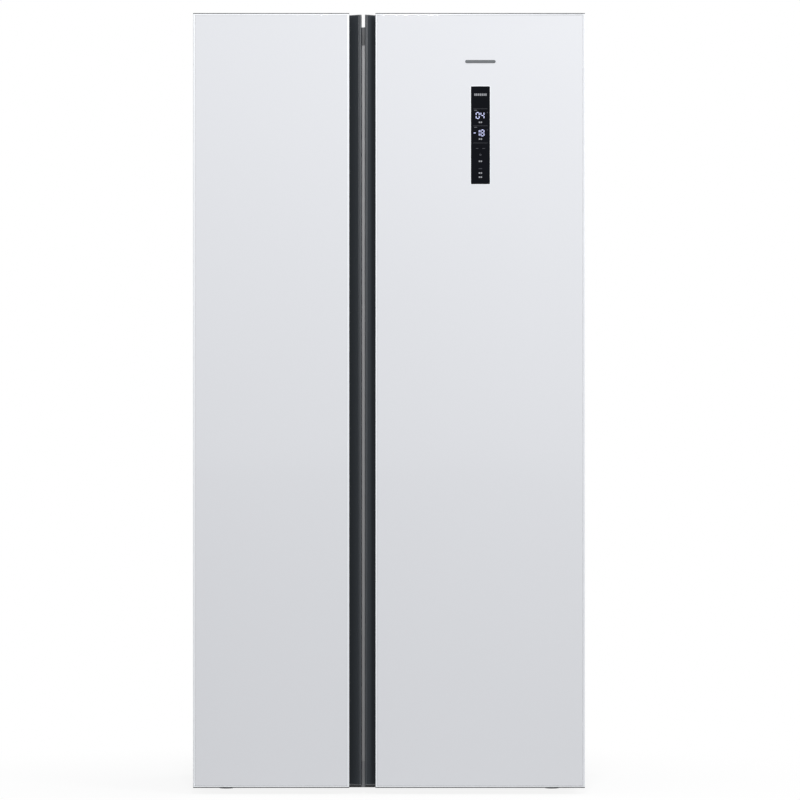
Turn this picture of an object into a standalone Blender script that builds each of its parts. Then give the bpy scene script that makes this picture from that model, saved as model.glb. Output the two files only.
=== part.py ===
"""Side by side refrigerator: a freezer behind the left door, a fridge behind the right one.

Metres, +Z up. The origin is on the floor at the centre of the overall box. The doors face
-Y, and +X is to the right of someone who stands in front. Every piece is one closed solid,
and two pieces that touch keep FIT_GAP of air between them.
"""

import math
from dataclasses import dataclass

import bmesh
import bpy
from mathutils import Vector

# ---------------------------------------------------------------- driving dimensions

OVERALL_WIDTH = 0.900
OVERALL_DEPTH = 0.700
OVERALL_HEIGHT = 1.795
FIT_GAP = 0.0003
THROUGH = 0.004                 # how far a cutter runs past the face that it opens

FRONT_Y = -OVERALL_DEPTH / 2
BACK_Y = OVERALL_DEPTH / 2

# Doors
DOOR_BOTTOM_Z = 0.015
DOOR_THICKNESS = 0.062
FREEZER_PANEL_WIDTH = 0.3587
FREEZER_GRIP_WIDTH = 0.0281
FRIDGE_PANEL_WIDTH = 0.4810
FRIDGE_GRIP_WIDTH = 0.0242
GLASS_THICKNESS = 0.004
EDGE_RIM = 0.0045               # bright edging around the glass
EDGE_WALL = 0.0015              # wall of the door's edge frame
LINER_SHEET = 0.002
LIP_DEPTH = 0.008               # lip of the panel that the fingers pull
POCKET_DEPTH = 0.018            # how far the grip pocket reaches behind the lip
POCKET_BACK = 0.045             # deepest point of the pocket behind the door's front
NOSE_DEPTH = 0.004              # front of the grip's nose behind the door's front
NOSE_INNER_SHARE = 0.77         # flat of the nose, as shares of the grip's width
NOSE_OUTER_SHARE = 0.92
GRIP_TOP_GAP = 0.0034
GRIP_BOTTOM_GAP = 0.0065
DOOR_BACK_Y = FRONT_Y + DOOR_THICKNESS
GASKET_THICKNESS = 0.012
GASKET_WIDTH = 0.014
GASKET_OUTER_INSET = 0.016      # from the door's outer side
GASKET_INNER_INSET = 0.005      # from the door's side at the gap
GASKET_BOTTOM_Z = 0.056
GASKET_TOP_INSET = 0.020        # below the cabinet's top

# Door hinges
HINGE_INSET_X = 0.014
HINGE_INSET_Y = 0.038
HINGE_X = OVERALL_WIDTH / 2 - HINGE_INSET_X
HINGE_Y = FRONT_Y + HINGE_INSET_Y
PIN_RADIUS = 0.0045
PIN_BORE_RADIUS = 0.0052
PIN_LENGTH = 0.018
PIN_SEGMENTS = 16
HINGE_PLATE = 0.004
HINGE_ARM = 0.008               # half width of the arm, and radius of its round end
UPPER_REACH = 0.062             # how far a hinge reaches inwards from its pin
LOWER_REACH = 0.052
COVER_REACH = 0.072
NOTCH_WIDTH = 0.078             # corner of the door that is cut away for a hinge
NOTCH_HEIGHT = 0.033
NOTCH_FRONT = 0.019             # door left standing in front of the notch

# Cabinet
CABINET_FRONT_Y = DOOR_BACK_Y + GASKET_THICKNESS
CABINET_HALF_WIDTH = 0.448
CABINET_TOP_Z = OVERALL_HEIGHT - 0.027
SHELL_SHEET = 0.001
SHELL_BOTTOM_Z = 0.030
SHELL_FLANGE = 0.012
SHELL_BEND = 0.008              # outer radius of the shell's upper bends
FACE_SHEET = 0.002
TRIM_HEIGHT = 0.042
RAIL_BOTTOM_Z = 0.011
RAIL_TOP_Z = 0.072
RAIL_FLANGE = 0.030
MULLION_HALF_WIDTH = 0.025
FREEZER_SPACE_X = (-0.400, -0.092)
FRIDGE_SPACE_X = (-0.026, 0.400)
SPACE_BOTTOM_Z = 0.100
SPACE_TOP_Z = 1.700
SPACE_BACK_Y = 0.283
STEP_TOP_Z = 0.335              # floor of the spaces rises over the machine room
STEP_FRONT_Y = 0.060
STEP_BACK_Y = 0.088
BASE_TOP_Z = 0.048
BASE_SHEET = 0.002
ROOM_FRONT_Y = 0.110
ROOM_STEP_Y = 0.135
ROOM_TOP_Z = 0.290
INLET_HALF_WIDTH = 0.0245
INLET_HALF_HEIGHT = 0.0135
INLET_X = 0.350
INLET_Z = 0.160

# Supports
SUPPORT_X = 0.380
FOOT_Y = -0.150
FOOT_RADIUS = 0.018
FOOT_HEIGHT = 0.012
STUD_RADIUS = 0.005
STUD_TOP_Z = 0.046
ROLLER_Y = 0.290
ROLLER_RADIUS = 0.020
ROLLER_HALF_WIDTH = 0.012
AXLE_RADIUS = 0.004
BRACKET_SHEET = 0.003

# Inside fittings
SIDE_GAP = 0.002                # between a fitting and the liner's side wall
LEDGE = 0.006                   # square section of a ledge on the liner
SHELF_FRONT_Y = -0.160
SHELF_GLASS = 0.004
SHELF_RIM = 0.012               # height of a shelf's front rim
FREEZER_BACK_Y = 0.205
FRIDGE_BACK_Y = 0.252
FREEZER_SHELF_Z = (0.585, 0.955, 1.325)
FRIDGE_SHELF_Z = (0.570, 0.930, 1.300)
DRAWER_WALL = 0.0025
LOWER_DRAWER_Z = (0.110, 0.315)
UPPER_DRAWER_Z = (0.350, 0.550)
LOWER_DRAWER_BACK_Y = 0.045
UPPER_DRAWER_BACK_Y = 0.190
DYKE_INSET = 0.012              # from the space's side wall to the door liner's ridge
DYKE_WIDTH = 0.026
DYKE_DEPTH = 0.034
BIN_DEPTH = 0.103
BIN_HEIGHT = 0.115
BIN_WALL = 0.002
FREEZER_BIN_Z = (0.165, 0.640, 1.115)
FRIDGE_BIN_Z = (0.165, 0.530, 0.895, 1.260)

# Display in the fridge door
DISPLAY_X = 0.210
DISPLAY_WIDTH = 0.0434
DISPLAY_BOTTOM_Z = 1.402
DISPLAY_TOP_Z = 1.6265
DISPLAY_DEPTH = 0.014

# Colour, roughness, metallic value and alpha of each material
MATERIALS = {
    "door_glass_white": ((0.80, 0.82, 0.86), 0.12, 0.0, 1.0),
    "door_edge_white": ((0.86, 0.87, 0.89), 0.30, 0.0, 1.0),
    "grip_black": ((0.030, 0.033, 0.038), 0.38, 0.6, 1.0),
    "display_black": ((0.008, 0.008, 0.010), 0.06, 0.0, 1.0),
    "cabinet_steel": ((0.50, 0.51, 0.53), 0.35, 0.3, 1.0),
    "mullion_silver": ((0.32, 0.33, 0.35), 0.38, 0.6, 1.0),
    "trim_grey": ((0.11, 0.12, 0.13), 0.45, 0.0, 1.0),
    "liner_white": ((0.86, 0.87, 0.88), 0.28, 0.0, 1.0),
    "gasket_grey": ((0.42, 0.43, 0.45), 0.70, 0.0, 1.0),
    "insulation_foam": ((0.80, 0.70, 0.45), 0.90, 0.0, 1.0),
    "zinc_steel": ((0.55, 0.55, 0.56), 0.40, 0.9, 1.0),
    "shelf_glass": ((0.78, 0.86, 0.86), 0.05, 0.0, 0.35),
    "clear_plastic": ((0.85, 0.88, 0.92), 0.12, 0.0, 0.55),
    "white_plastic": ((0.84, 0.85, 0.86), 0.35, 0.0, 1.0),
    "grey_plastic": ((0.35, 0.36, 0.38), 0.50, 0.0, 1.0),
    "black_plastic": ((0.03, 0.03, 0.03), 0.50, 0.0, 1.0),
    "black_steel": ((0.02, 0.02, 0.02), 0.40, 0.3, 1.0),
    "fin_aluminium": ((0.75, 0.76, 0.78), 0.30, 1.0, 1.0),
}

AXES = {"X": (1, 2, 0), "Y": (0, 2, 1), "Z": (0, 1, 2)}


@dataclass
class Door:
    """One door, measured from the outer side (a) and from its front face backwards (v)."""

    name: str
    side: int
    panel_width: float
    grip_width: float
    space_x: tuple
    bin_heights: tuple

    @property
    def width(self):
        return self.panel_width + self.grip_width

    def x(self, a):
        return self.side * (a - OVERALL_WIDTH / 2)

    def plan(self, outline):
        return [(self.x(a), FRONT_Y + v) for a, v in outline]

    def span_x(self, a_low, a_high):
        return sorted((self.x(a_low), self.x(a_high)))


FREEZER_DOOR = Door("freezer", 1, FREEZER_PANEL_WIDTH, FREEZER_GRIP_WIDTH, FREEZER_SPACE_X, FREEZER_BIN_Z)
FRIDGE_DOOR = Door("fridge", -1, FRIDGE_PANEL_WIDTH, FRIDGE_GRIP_WIDTH, FRIDGE_SPACE_X, FRIDGE_BIN_Z)
DOORS = (FREEZER_DOOR, FRIDGE_DOOR)
MULLION_X = (FREEZER_DOOR.x(FREEZER_DOOR.width) + FRIDGE_DOOR.x(FRIDGE_DOOR.width)) / 2


# ---------------------------------------------------------------- shapes

def clear_scene():
    for thing in list(bpy.data.objects):
        bpy.data.objects.remove(thing, do_unlink=True)


def add_object(name, mesh):
    thing = bpy.data.objects.new(name, mesh)
    bpy.context.scene.collection.objects.link(thing)
    return thing


def object_from(name, form):
    bmesh.ops.recalc_face_normals(form, faces=form.faces)
    mesh = bpy.data.meshes.new(name)
    form.to_mesh(mesh)
    form.free()
    return add_object(name, mesh)


def from_rings(name, rings):
    """Close a stack of equal rings of points with side faces and two end faces."""
    form = bmesh.new()
    loops = [[form.verts.new(point) for point in ring] for ring in rings]
    for lower, upper in zip(loops, loops[1:]):
        count = len(lower)
        for index in range(count):
            following = (index + 1) % count
            form.faces.new((lower[index], lower[following], upper[following], upper[index]))
    form.faces.new(loops[0])
    form.faces.new(loops[-1])
    return object_from(name, form)


def place(outline, level, axis):
    first, second, third = AXES[axis]
    points = []
    for u, v in outline:
        point = [0.0, 0.0, 0.0]
        point[first] = u
        point[second] = v
        point[third] = level
        points.append(point)
    return points


def prism(name, outline, low, high, axis="Z"):
    return from_rings(name, [place(outline, low, axis), place(outline, high, axis)])


def block(name, x, y, z):
    return prism(name, rectangle(x, y), z[0], z[1])


def rectangle(first, second):
    return [(first[0], second[0]), (first[1], second[0]), (first[1], second[1]), (first[0], second[1])]


def rounded_rectangle(first, second, radius, segments=2):
    centres = (
        (first[1] - radius, second[1] - radius),
        (first[0] + radius, second[1] - radius),
        (first[0] + radius, second[0] + radius),
        (first[1] - radius, second[0] + radius),
    )
    points = []
    for quarter, centre in enumerate(centres):
        for step in range(segments + 1):
            angle = math.pi / 2 * (quarter + step / segments)
            points.append((centre[0] + radius * math.cos(angle), centre[1] + radius * math.sin(angle)))
    return points


def circle(centre, radius, segments=PIN_SEGMENTS):
    angles = [2 * math.pi * step / segments for step in range(segments)]
    return [(centre[0] + radius * math.cos(turn), centre[1] + radius * math.sin(turn)) for turn in angles]


def offset_outline(outline, distance):
    """Move every side of a closed outline outwards by distance, or inwards if it is negative."""
    corners = [Vector(point) for point in outline]
    count = len(corners)
    area = sum(corners[i - 1].x * corners[i].y - corners[i].x * corners[i - 1].y for i in range(count))
    turn = 1 if area > 0 else -1
    moved = []
    for index, corner in enumerate(corners):
        before = (corner - corners[index - 1]).normalized()
        after = (corners[(index + 1) % count] - corner).normalized()
        normal_before = Vector((before.y, -before.x)) * turn
        normal_after = Vector((after.y, -after.x)) * turn
        bisector = normal_before + normal_after
        moved.append(tuple(corner + bisector * distance * 2 / bisector.length_squared))
    return moved


def combine(target, other, operation):
    modifier = target.modifiers.new("combine", "BOOLEAN")
    modifier.operation = operation
    modifier.solver = "EXACT"
    modifier.object = other
    graph = bpy.context.evaluated_depsgraph_get()
    mesh = bpy.data.meshes.new_from_object(target.evaluated_get(graph))
    target.modifiers.clear()
    target.data = mesh
    bpy.data.objects.remove(other, do_unlink=True)


def cut(target, *cutters):
    for cutter in cutters:
        combine(target, cutter, "DIFFERENCE")


def unite(target, *additions):
    for addition in additions:
        combine(target, addition, "UNION")


def turned(name, profile, centre, axis="Z", segments=24):
    """Turn (radius, height) steps about an axis through centre."""
    first, second, third = AXES[axis]
    rings = []
    for radius, height in profile:
        middle = (centre[first], centre[second])
        rings.append(place(circle(middle, radius, segments), centre[third] + height, axis))
    thing = from_rings(name, rings)
    thing.data.shade_smooth()
    thing.data.set_sharp_from_angle(angle=math.radians(40))
    return thing


def vessel(name, x, y, z, wall, corner=0.012, draft=0.006):
    """An open-topped tray whose walls lean outwards by draft from floor to rim."""
    inner_corner = corner - wall

    def ring(shrink, radius, level):
        outline = rounded_rectangle((x[0] + shrink, x[1] - shrink), (y[0] + shrink, y[1] - shrink), radius)
        return place(outline, level, "Z")

    rings = [
        ring(draft, corner, z[0]),
        ring(0, corner, z[1]),
        ring(wall, inner_corner, z[1]),
        ring(wall + draft, inner_corner, z[0] + wall),
    ]
    return from_rings(name, rings)


def tube(name, points, radius, sides=2):
    """A round bar along straight runs between the points."""
    curve = bpy.data.curves.new(name, "CURVE")
    curve.dimensions = "3D"
    curve.bevel_depth = radius
    curve.bevel_resolution = sides
    curve.use_fill_caps = True
    spline = curve.splines.new("POLY")
    spline.points.add(len(points) - 1)
    for target, point in zip(spline.points, points):
        target.co = (*point, 1.0)
    return add_object(name, curve)


# ---------------------------------------------------------------- naming, looks and parents

def surface(slot):
    known = bpy.data.materials.get(slot)
    if known:
        return known
    colour, roughness, metallic, alpha = MATERIALS[slot]
    material = bpy.data.materials.new(slot)
    material.use_nodes = True
    shader = material.node_tree.nodes["Principled BSDF"]
    shader.inputs["Base Color"].default_value = (*colour, 1.0)
    shader.inputs["Roughness"].default_value = roughness
    shader.inputs["Metallic"].default_value = metallic
    shader.inputs["Alpha"].default_value = alpha
    return material


def pivot(name, location):
    empty = bpy.data.objects.new(name, None)
    empty.location = location
    bpy.context.scene.collection.objects.link(empty)
    return empty


def finish(thing, name, slot, parent=None):
    """Name a piece, give it its material and hang it on its pivot with its place unchanged."""
    thing.name = name
    thing.data.name = name
    thing.data.materials.clear()
    thing.data.materials.append(surface(slot))
    if parent:
        thing.parent = parent
        thing.location = -parent.location
    return thing


# ---------------------------------------------------------------- cabinet

def space_outline(front_y):
    """Side view of a cold space, whose floor steps up over the machine room."""
    return [
        (front_y, SPACE_BOTTOM_Z),
        (STEP_FRONT_Y, SPACE_BOTTOM_Z),
        (STEP_BACK_Y, STEP_TOP_Z),
        (SPACE_BACK_Y, STEP_TOP_Z),
        (SPACE_BACK_Y, SPACE_TOP_Z),
        (front_y, SPACE_TOP_Z),
    ]


def space_solid(space_x, growth, front_y):
    outline = offset_outline(space_outline(front_y), growth)
    return prism("space", outline, space_x[0] - growth, space_x[1] + growth, "X")


def ledges(space_x, back_y, levels):
    """Bars on both side walls of a liner that carry shelves and drawers."""
    bars = []
    for level in levels:
        for wall_x, inward in ((space_x[0], 1), (space_x[1], -1)):
            x = sorted((wall_x - inward * LINER_SHEET / 2, wall_x + inward * LEDGE))
            bars.append(block("ledge", x, (SHELF_FRONT_Y, back_y), (level - LEDGE, level)))
    return bars


def liner(name, space_x, flange_x, back_y, shelf_levels):
    body = space_solid(space_x, LINER_SHEET, CABINET_FRONT_Y + LINER_SHEET)
    flange_y = (CABINET_FRONT_Y, CABINET_FRONT_Y + FACE_SHEET)
    flange_z = (RAIL_TOP_Z, CABINET_TOP_Z - TRIM_HEIGHT - FIT_GAP)
    unite(body, block("flange", flange_x, flange_y, flange_z))
    cut(body, space_solid(space_x, 0, CABINET_FRONT_Y - THROUGH))
    drawer_level = UPPER_DRAWER_Z[0] - FIT_GAP
    shelf_tops = [level - FIT_GAP for level in shelf_levels]
    unite(body, *ledges(space_x, back_y, [drawer_level, *shelf_tops]))
    finish(body, name, "liner_white")


def mullion_edges():
    return (MULLION_X - MULLION_HALF_WIDTH, MULLION_X + MULLION_HALF_WIDTH)


def build_liners():
    outer = CABINET_HALF_WIDTH - SHELL_FLANGE - FIT_GAP
    left_edge, right_edge = mullion_edges()
    freezer_flange = (-outer, left_edge - FIT_GAP)
    fridge_flange = (right_edge + FIT_GAP, outer)
    liner("freezer_liner", FREEZER_SPACE_X, freezer_flange, FREEZER_BACK_Y, FREEZER_SHELF_Z)
    liner("fridge_liner", FRIDGE_SPACE_X, fridge_flange, FRIDGE_BACK_Y, FRIDGE_SHELF_Z)


def shell_outline(inset):
    """Front view of the shell's bent sheet, with the open side down."""
    bend = SHELL_BEND
    half = CABINET_HALF_WIDTH - inset
    top = CABINET_TOP_Z - inset
    corners = ((half - bend, 0.0), (bend - half, math.pi / 2))
    points = [(half, SHELL_BOTTOM_Z)]
    for centre_x, start in corners:
        for step in range(4):
            angle = start + math.pi / 2 * step / 3
            radius = bend - inset if inset < bend else 0.0
            x = centre_x + math.copysign(inset, centre_x) + radius * math.cos(angle)
            points.append((x, top - radius + radius * math.sin(angle)))
    points.append((-half, SHELL_BOTTOM_Z))
    return points


def build_shell():
    body = prism("shell", shell_outline(0), CABINET_FRONT_Y, BACK_Y, "Y")
    inner = CABINET_HALF_WIDTH - SHELL_SHEET
    hollow_outline = shell_outline(SHELL_SHEET)
    hollow_outline[0] = (inner, SHELL_BOTTOM_Z - THROUGH)
    hollow_outline[-1] = (-inner, SHELL_BOTTOM_Z - THROUGH)
    cut(body, prism("hollow", hollow_outline, CABINET_FRONT_Y + SHELL_SHEET, BACK_Y + THROUGH, "Y"))
    opening = CABINET_HALF_WIDTH - SHELL_FLANGE
    opening_y = (CABINET_FRONT_Y - THROUGH, CABINET_FRONT_Y + 2 * SHELL_SHEET)
    opening_z = (SHELL_BOTTOM_Z - THROUGH, CABINET_TOP_Z - SHELL_SHEET)
    cut(body, block("front", (-opening, opening), opening_y, opening_z))
    finish(body, "cabinet_shell", "cabinet_steel")


def room_solid(growth):
    """The machine room at the bottom of the back."""
    outline = [
        (ROOM_FRONT_Y - growth, BASE_TOP_Z - THROUGH),
        (ROOM_STEP_Y - growth, ROOM_TOP_Z + growth),
        (BACK_Y + THROUGH, ROOM_TOP_Z + growth),
        (BACK_Y + THROUGH, BASE_TOP_Z - THROUGH),
    ]
    return prism("room", outline, -OVERALL_WIDTH / 2, OVERALL_WIDTH / 2, "X")


def build_foam():
    half = CABINET_HALF_WIDTH - SHELL_SHEET - FIT_GAP
    front = CABINET_FRONT_Y + FACE_SHEET + FIT_GAP
    back = BACK_Y - 2 * SHELL_SHEET - FIT_GAP
    top = CABINET_TOP_Z - SHELL_SHEET - FIT_GAP
    corner = SHELL_BEND
    outline = [
        (-half, BASE_TOP_Z + FIT_GAP),
        (half, BASE_TOP_Z + FIT_GAP),
        (half, top - corner),
        (half - corner, top),
        (corner - half, top),
        (-half, top - corner),
    ]
    body = prism("foam", outline, front, back, "Y")
    growth = LINER_SHEET + FIT_GAP
    for space_x in (FREEZER_SPACE_X, FRIDGE_SPACE_X):
        cut(body, space_solid(space_x, growth, front - THROUGH))
    cut(body, room_solid(0))
    finish(body, "cabinet_foam", "insulation_foam")


def build_face_strips():
    left_edge, right_edge = mullion_edges()
    strip_y = (CABINET_FRONT_Y, CABINET_FRONT_Y + FACE_SHEET)
    width = CABINET_HALF_WIDTH - SHELL_FLANGE - FIT_GAP
    trim_bottom = CABINET_TOP_Z - TRIM_HEIGHT
    mullion = block("strip", (left_edge, right_edge), strip_y, (RAIL_TOP_Z, trim_bottom - FIT_GAP))
    finish(mullion, "centre_mullion", "mullion_silver")
    trim_z = (trim_bottom, CABINET_TOP_Z - SHELL_SHEET - FIT_GAP)
    finish(block("strip", (-width, width), strip_y, trim_z), "top_trim", "trim_grey")
    front = strip_y[0]
    inner = strip_y[1]
    rail_outline = [
        (front, RAIL_BOTTOM_Z),
        (front + RAIL_FLANGE, RAIL_BOTTOM_Z),
        (front + RAIL_FLANGE, RAIL_BOTTOM_Z + FACE_SHEET),
        (inner, RAIL_BOTTOM_Z + FACE_SHEET),
        (inner, RAIL_TOP_Z - FIT_GAP),
        (front, RAIL_TOP_Z - FIT_GAP),
    ]
    finish(prism("rail", rail_outline, -width, width, "X"), "bottom_rail", "mullion_silver")


def build_back():
    half = CABINET_HALF_WIDTH - SHELL_SHEET - FIT_GAP
    top = CABINET_TOP_Z - SHELL_SHEET - FIT_GAP
    sheet_y = (BACK_Y - 2 * SHELL_SHEET, BACK_Y - SHELL_SHEET)
    corner = SHELL_BEND
    back_outline = [
        (-half, ROOM_TOP_Z + FIT_GAP),
        (half, ROOM_TOP_Z + FIT_GAP),
        (half, top - corner),
        (half - corner, top),
        (corner - half, top),
        (-half, top - corner),
    ]
    panel = prism("back", back_outline, sheet_y[0], sheet_y[1], "Y")
    finish(panel, "back_panel", "cabinet_steel")

    cover = block("cover", (-half, half), sheet_y, (BASE_TOP_Z + FIT_GAP, ROOM_TOP_Z - FIT_GAP))
    slot_y = (sheet_y[0] - THROUGH, sheet_y[1] + THROUGH)
    slot_length = 0.115
    slot_height = 0.006
    slot_pitch = 0.022
    first_slot_z = 0.095
    for centre_x in (-0.330, -0.180, -0.030, 0.120):
        for row in range(8):
            level = first_slot_z + slot_pitch * row
            slot_x = (centre_x - slot_length / 2, centre_x + slot_length / 2)
            cut(cover, block("slot", slot_x, slot_y, (level, level + slot_height)))
    inlet_x, inlet_z = inlet_window(FIT_GAP)
    cut(cover, block("window", inlet_x, slot_y, inlet_z))
    finish(cover, "machine_cover", "cabinet_steel")


def inlet_window(growth):
    """Sides of the power inlet where it passes through the machine room's cover."""
    x = (INLET_X - INLET_HALF_WIDTH - growth, INLET_X + INLET_HALF_WIDTH + growth)
    z = (INLET_Z - INLET_HALF_HEIGHT - growth, INLET_Z + INLET_HALF_HEIGHT + growth)
    return x, z


def build_inlet():
    body_length = 0.030
    socket_depth = 0.020
    socket_wall = 0.003
    x, z = inlet_window(0)
    body = block("inlet", x, (BACK_Y - body_length, BACK_Y), z)
    socket = block(
        "socket",
        (x[0] + socket_wall, x[1] - socket_wall),
        (BACK_Y - socket_depth, BACK_Y + THROUGH),
        (z[0] + socket_wall, z[1] - socket_wall),
    )
    cut(body, socket)
    finish(body, "power_inlet", "black_plastic")


def build_base():
    half = CABINET_HALF_WIDTH - SHELL_SHEET - FIT_GAP
    y = (CABINET_FRONT_Y + FACE_SHEET + FIT_GAP, BACK_Y - 2 * SHELL_SHEET - FIT_GAP)
    plate = block("base", (-half, half), y, (BASE_TOP_Z - BASE_SHEET, BASE_TOP_Z))
    ear_length = 0.016
    ear_bottom_z = ROLLER_RADIUS - ear_length / 2
    for side in (-1, 1):
        roller_x = side * SUPPORT_X
        for face in (-1, 1):
            inner = roller_x + face * (ROLLER_HALF_WIDTH + 2 * FIT_GAP)
            x = sorted((inner, inner + face * BRACKET_SHEET))
            ear_y = (ROLLER_Y - ear_length / 2, ROLLER_Y + ear_length / 2)
            ear = block("ear", x, ear_y, (ear_bottom_z, BASE_TOP_Z - BASE_SHEET / 2))
            bore_radius = AXLE_RADIUS + FIT_GAP
            bore = circle((ROLLER_Y, ROLLER_RADIUS), bore_radius)
            cut(ear, prism("bore", bore, x[0] - THROUGH, x[1] + THROUGH, "X"))
            unite(plate, ear)
        # A leg boss under the plate guides the stud of the levelling foot.
        boss_radius = 2 * STUD_RADIUS
        boss = circle((roller_x, FOOT_Y), boss_radius)
        boss_bottom_z = FOOT_HEIGHT + 0.008
        unite(plate, prism("boss", boss, boss_bottom_z, BASE_TOP_Z - BASE_SHEET / 2))
        bore = circle((roller_x, FOOT_Y), STUD_RADIUS + FIT_GAP)
        cut(plate, prism("bore", bore, boss_bottom_z - THROUGH, BASE_TOP_Z + THROUGH))
    finish(plate, "base_plate", "zinc_steel")


# ---------------------------------------------------------------- supports

def build_supports():
    for side, word in ((-1, "left"), (1, "right")):
        foot_centre = (side * SUPPORT_X, FOOT_Y, 0.0)
        foot_pivot = pivot("foot_pivot_" + word, foot_centre)
        rim = 0.002
        profile = [
            (FOOT_RADIUS - rim, 0.0),
            (FOOT_RADIUS, rim),
            (FOOT_RADIUS, FOOT_HEIGHT - rim),
            (FOOT_RADIUS - rim, FOOT_HEIGHT),
            (STUD_RADIUS, FOOT_HEIGHT),
            (STUD_RADIUS, STUD_TOP_Z),
        ]
        foot = turned("foot", profile, foot_centre, segments=PIN_SEGMENTS)
        finish(foot, "levelling_foot_" + word, "black_plastic", foot_pivot)

        roller_centre = (side * SUPPORT_X, ROLLER_Y, ROLLER_RADIUS)
        roller_pivot = pivot("roller_pivot_" + word, roller_centre)
        axle_half = ROLLER_HALF_WIDTH + BRACKET_SHEET + 0.002
        chamfer = 0.0015
        profile = [
            (AXLE_RADIUS, -axle_half),
            (AXLE_RADIUS, -ROLLER_HALF_WIDTH),
            (ROLLER_RADIUS - chamfer, -ROLLER_HALF_WIDTH),
            (ROLLER_RADIUS, chamfer - ROLLER_HALF_WIDTH),
            (ROLLER_RADIUS, ROLLER_HALF_WIDTH - chamfer),
            (ROLLER_RADIUS - chamfer, ROLLER_HALF_WIDTH),
            (AXLE_RADIUS, ROLLER_HALF_WIDTH),
            (AXLE_RADIUS, axle_half),
        ]
        roller = turned("roller", profile, roller_centre, axis="X")
        finish(roller, "rear_roller_" + word, "black_plastic", roller_pivot)


# ---------------------------------------------------------------- cooling

def build_compressor():
    centre = (-0.290, 0.235, BASE_TOP_Z + FIT_GAP)
    leg_height = 0.018
    shell_radius = 0.072
    shell_height = 0.165
    dome = 0.030
    profile = [(shell_radius * 0.72, leg_height - 0.004)]
    steps = 5
    for step in range(steps + 1):
        angle = math.pi / 2 * step / steps
        radius = shell_radius * (0.80 + 0.20 * math.sin(angle))
        profile.append((radius, leg_height + dome * (1 - math.cos(angle))))
    for step in range(steps + 1):
        angle = math.pi / 2 * step / steps
        radius = shell_radius * (0.40 + 0.60 * math.cos(angle))
        profile.append((radius, leg_height + shell_height - dome + dome * math.sin(angle)))
    body = turned("compressor", profile, centre)
    leg = 0.075
    leg_x = (centre[0] - leg, centre[0] + leg)
    leg_y = (centre[1] - leg, centre[1] + leg)
    leg_z = (centre[2], centre[2] + leg_height)
    foot_plate = prism("legs", rounded_rectangle(leg_x, leg_y, 0.020, 3), leg_z[0], leg_z[1])
    unite(body, foot_plate)
    finish(body, "compressor", "black_steel")


def build_condenser():
    """A tube that climbs to and fro in one upright layer, with a half circle at each turn."""
    radius = 0.004
    low_x = -0.070
    high_x = 0.150
    pitch = 0.026
    first_z = 0.104
    passes = 7
    y = 0.200
    turn_steps = 6
    points = [(low_x, y, first_z)]
    for row in range(passes):
        level = first_z + pitch * row
        outward = 1 if row % 2 == 0 else -1
        end_x = high_x if outward > 0 else low_x
        points.append((end_x, y, level))
        if row == passes - 1:
            continue
        for step in range(1, turn_steps):
            angle = math.pi * (step / turn_steps - 0.5)
            bulge = outward * math.cos(angle) * pitch / 2
            points.append((end_x + bulge, y, level + pitch / 2 * (1 + math.sin(angle))))
        points.append((end_x, y, level + pitch))
    finish(tube("condenser", points, radius), "condenser", "black_steel")


def build_drip_tray():
    tray_z = (BASE_TOP_Z + FIT_GAP, BASE_TOP_Z + 0.034)
    tray = vessel("tray", (-0.090, 0.180), (0.150, 0.330), tray_z, BIN_WALL)
    finish(tray, "drip_tray", "black_plastic")


def fan_outline(hub_radius, tip_radius, blades):
    """Front view of a fan: a round hub with broad blades."""
    corners = (
        (0.0, hub_radius),
        (0.10, tip_radius),
        (0.35, tip_radius * 1.02),
        (0.62, tip_radius * 0.97),
        (0.70, hub_radius),
        (0.85, hub_radius),
    )
    points = []
    pitch = 2 * math.pi / blades
    for blade in range(blades):
        for share, radius in corners:
            turn = (blade + share) * pitch
            points.append((radius * math.cos(turn), radius * math.sin(turn)))
    return points


def build_fan(name, centre, axis, tip_radius, depth):
    first, second, third = AXES[axis]
    hub_radius = tip_radius * 0.34
    outline = fan_outline(hub_radius, tip_radius, 5)
    twist = math.radians(24)
    layers = 4
    rings = []
    for layer in range(layers + 1):
        share = layer / layers
        turn = twist * (share - 0.5)
        ring = []
        for u, v in outline:
            across = u * math.cos(turn) - v * math.sin(turn)
            along = u * math.sin(turn) + v * math.cos(turn)
            ring.append((centre[first] + across, centre[second] + along))
        rings.append(place(ring, centre[third] + depth * (share - 0.5), axis))
    fan = from_rings(name, rings)
    finish(fan, name, "black_plastic", pivot(name + "_pivot", centre))


def build_evaporator():
    """A block of upright fins on a common spine."""
    fins = 22
    low_x = -0.380
    high_x = -0.112
    front_y = 0.226
    spine_y = (0.248, 0.256)
    back_y = 0.276
    pitch = (high_x - low_x) / fins
    fin_sheet = pitch * 0.35
    front = []
    back = []
    for fin in range(fins):
        x = low_x + pitch * fin
        front += [(x, spine_y[0]), (x, front_y), (x + fin_sheet, front_y), (x + fin_sheet, spine_y[0])]
        back += [(x, spine_y[1]), (x, back_y), (x + fin_sheet, back_y), (x + fin_sheet, spine_y[1])]
    body = prism("fins", front + back[::-1], 0.380, 0.600)
    finish(body, "evaporator", "fin_aluminium")


def build_evaporator_cover():
    x = (FREEZER_SPACE_X[0] + SIDE_GAP, FREEZER_SPACE_X[1] - SIDE_GAP)
    y = (0.210, 0.218)
    z = (0.345, SPACE_TOP_Z - 0.020)
    cover = block("cover", x, y, z)
    slot_offset = 0.060
    middle = (x[0] + x[1]) / 2
    slot_y = (y[0] - THROUGH, y[1] + THROUGH)
    slot_half = 0.045
    slot_height = 0.010
    for level in (0.700, 1.080, 1.450, 1.560):
        for offset in (-slot_offset, slot_offset):
            slot_x = (middle + offset - slot_half, middle + offset + slot_half)
            cut(cover, block("slot", slot_x, slot_y, (level, level + slot_height)))
    finish(cover, "evaporator_cover", "white_plastic")


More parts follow.
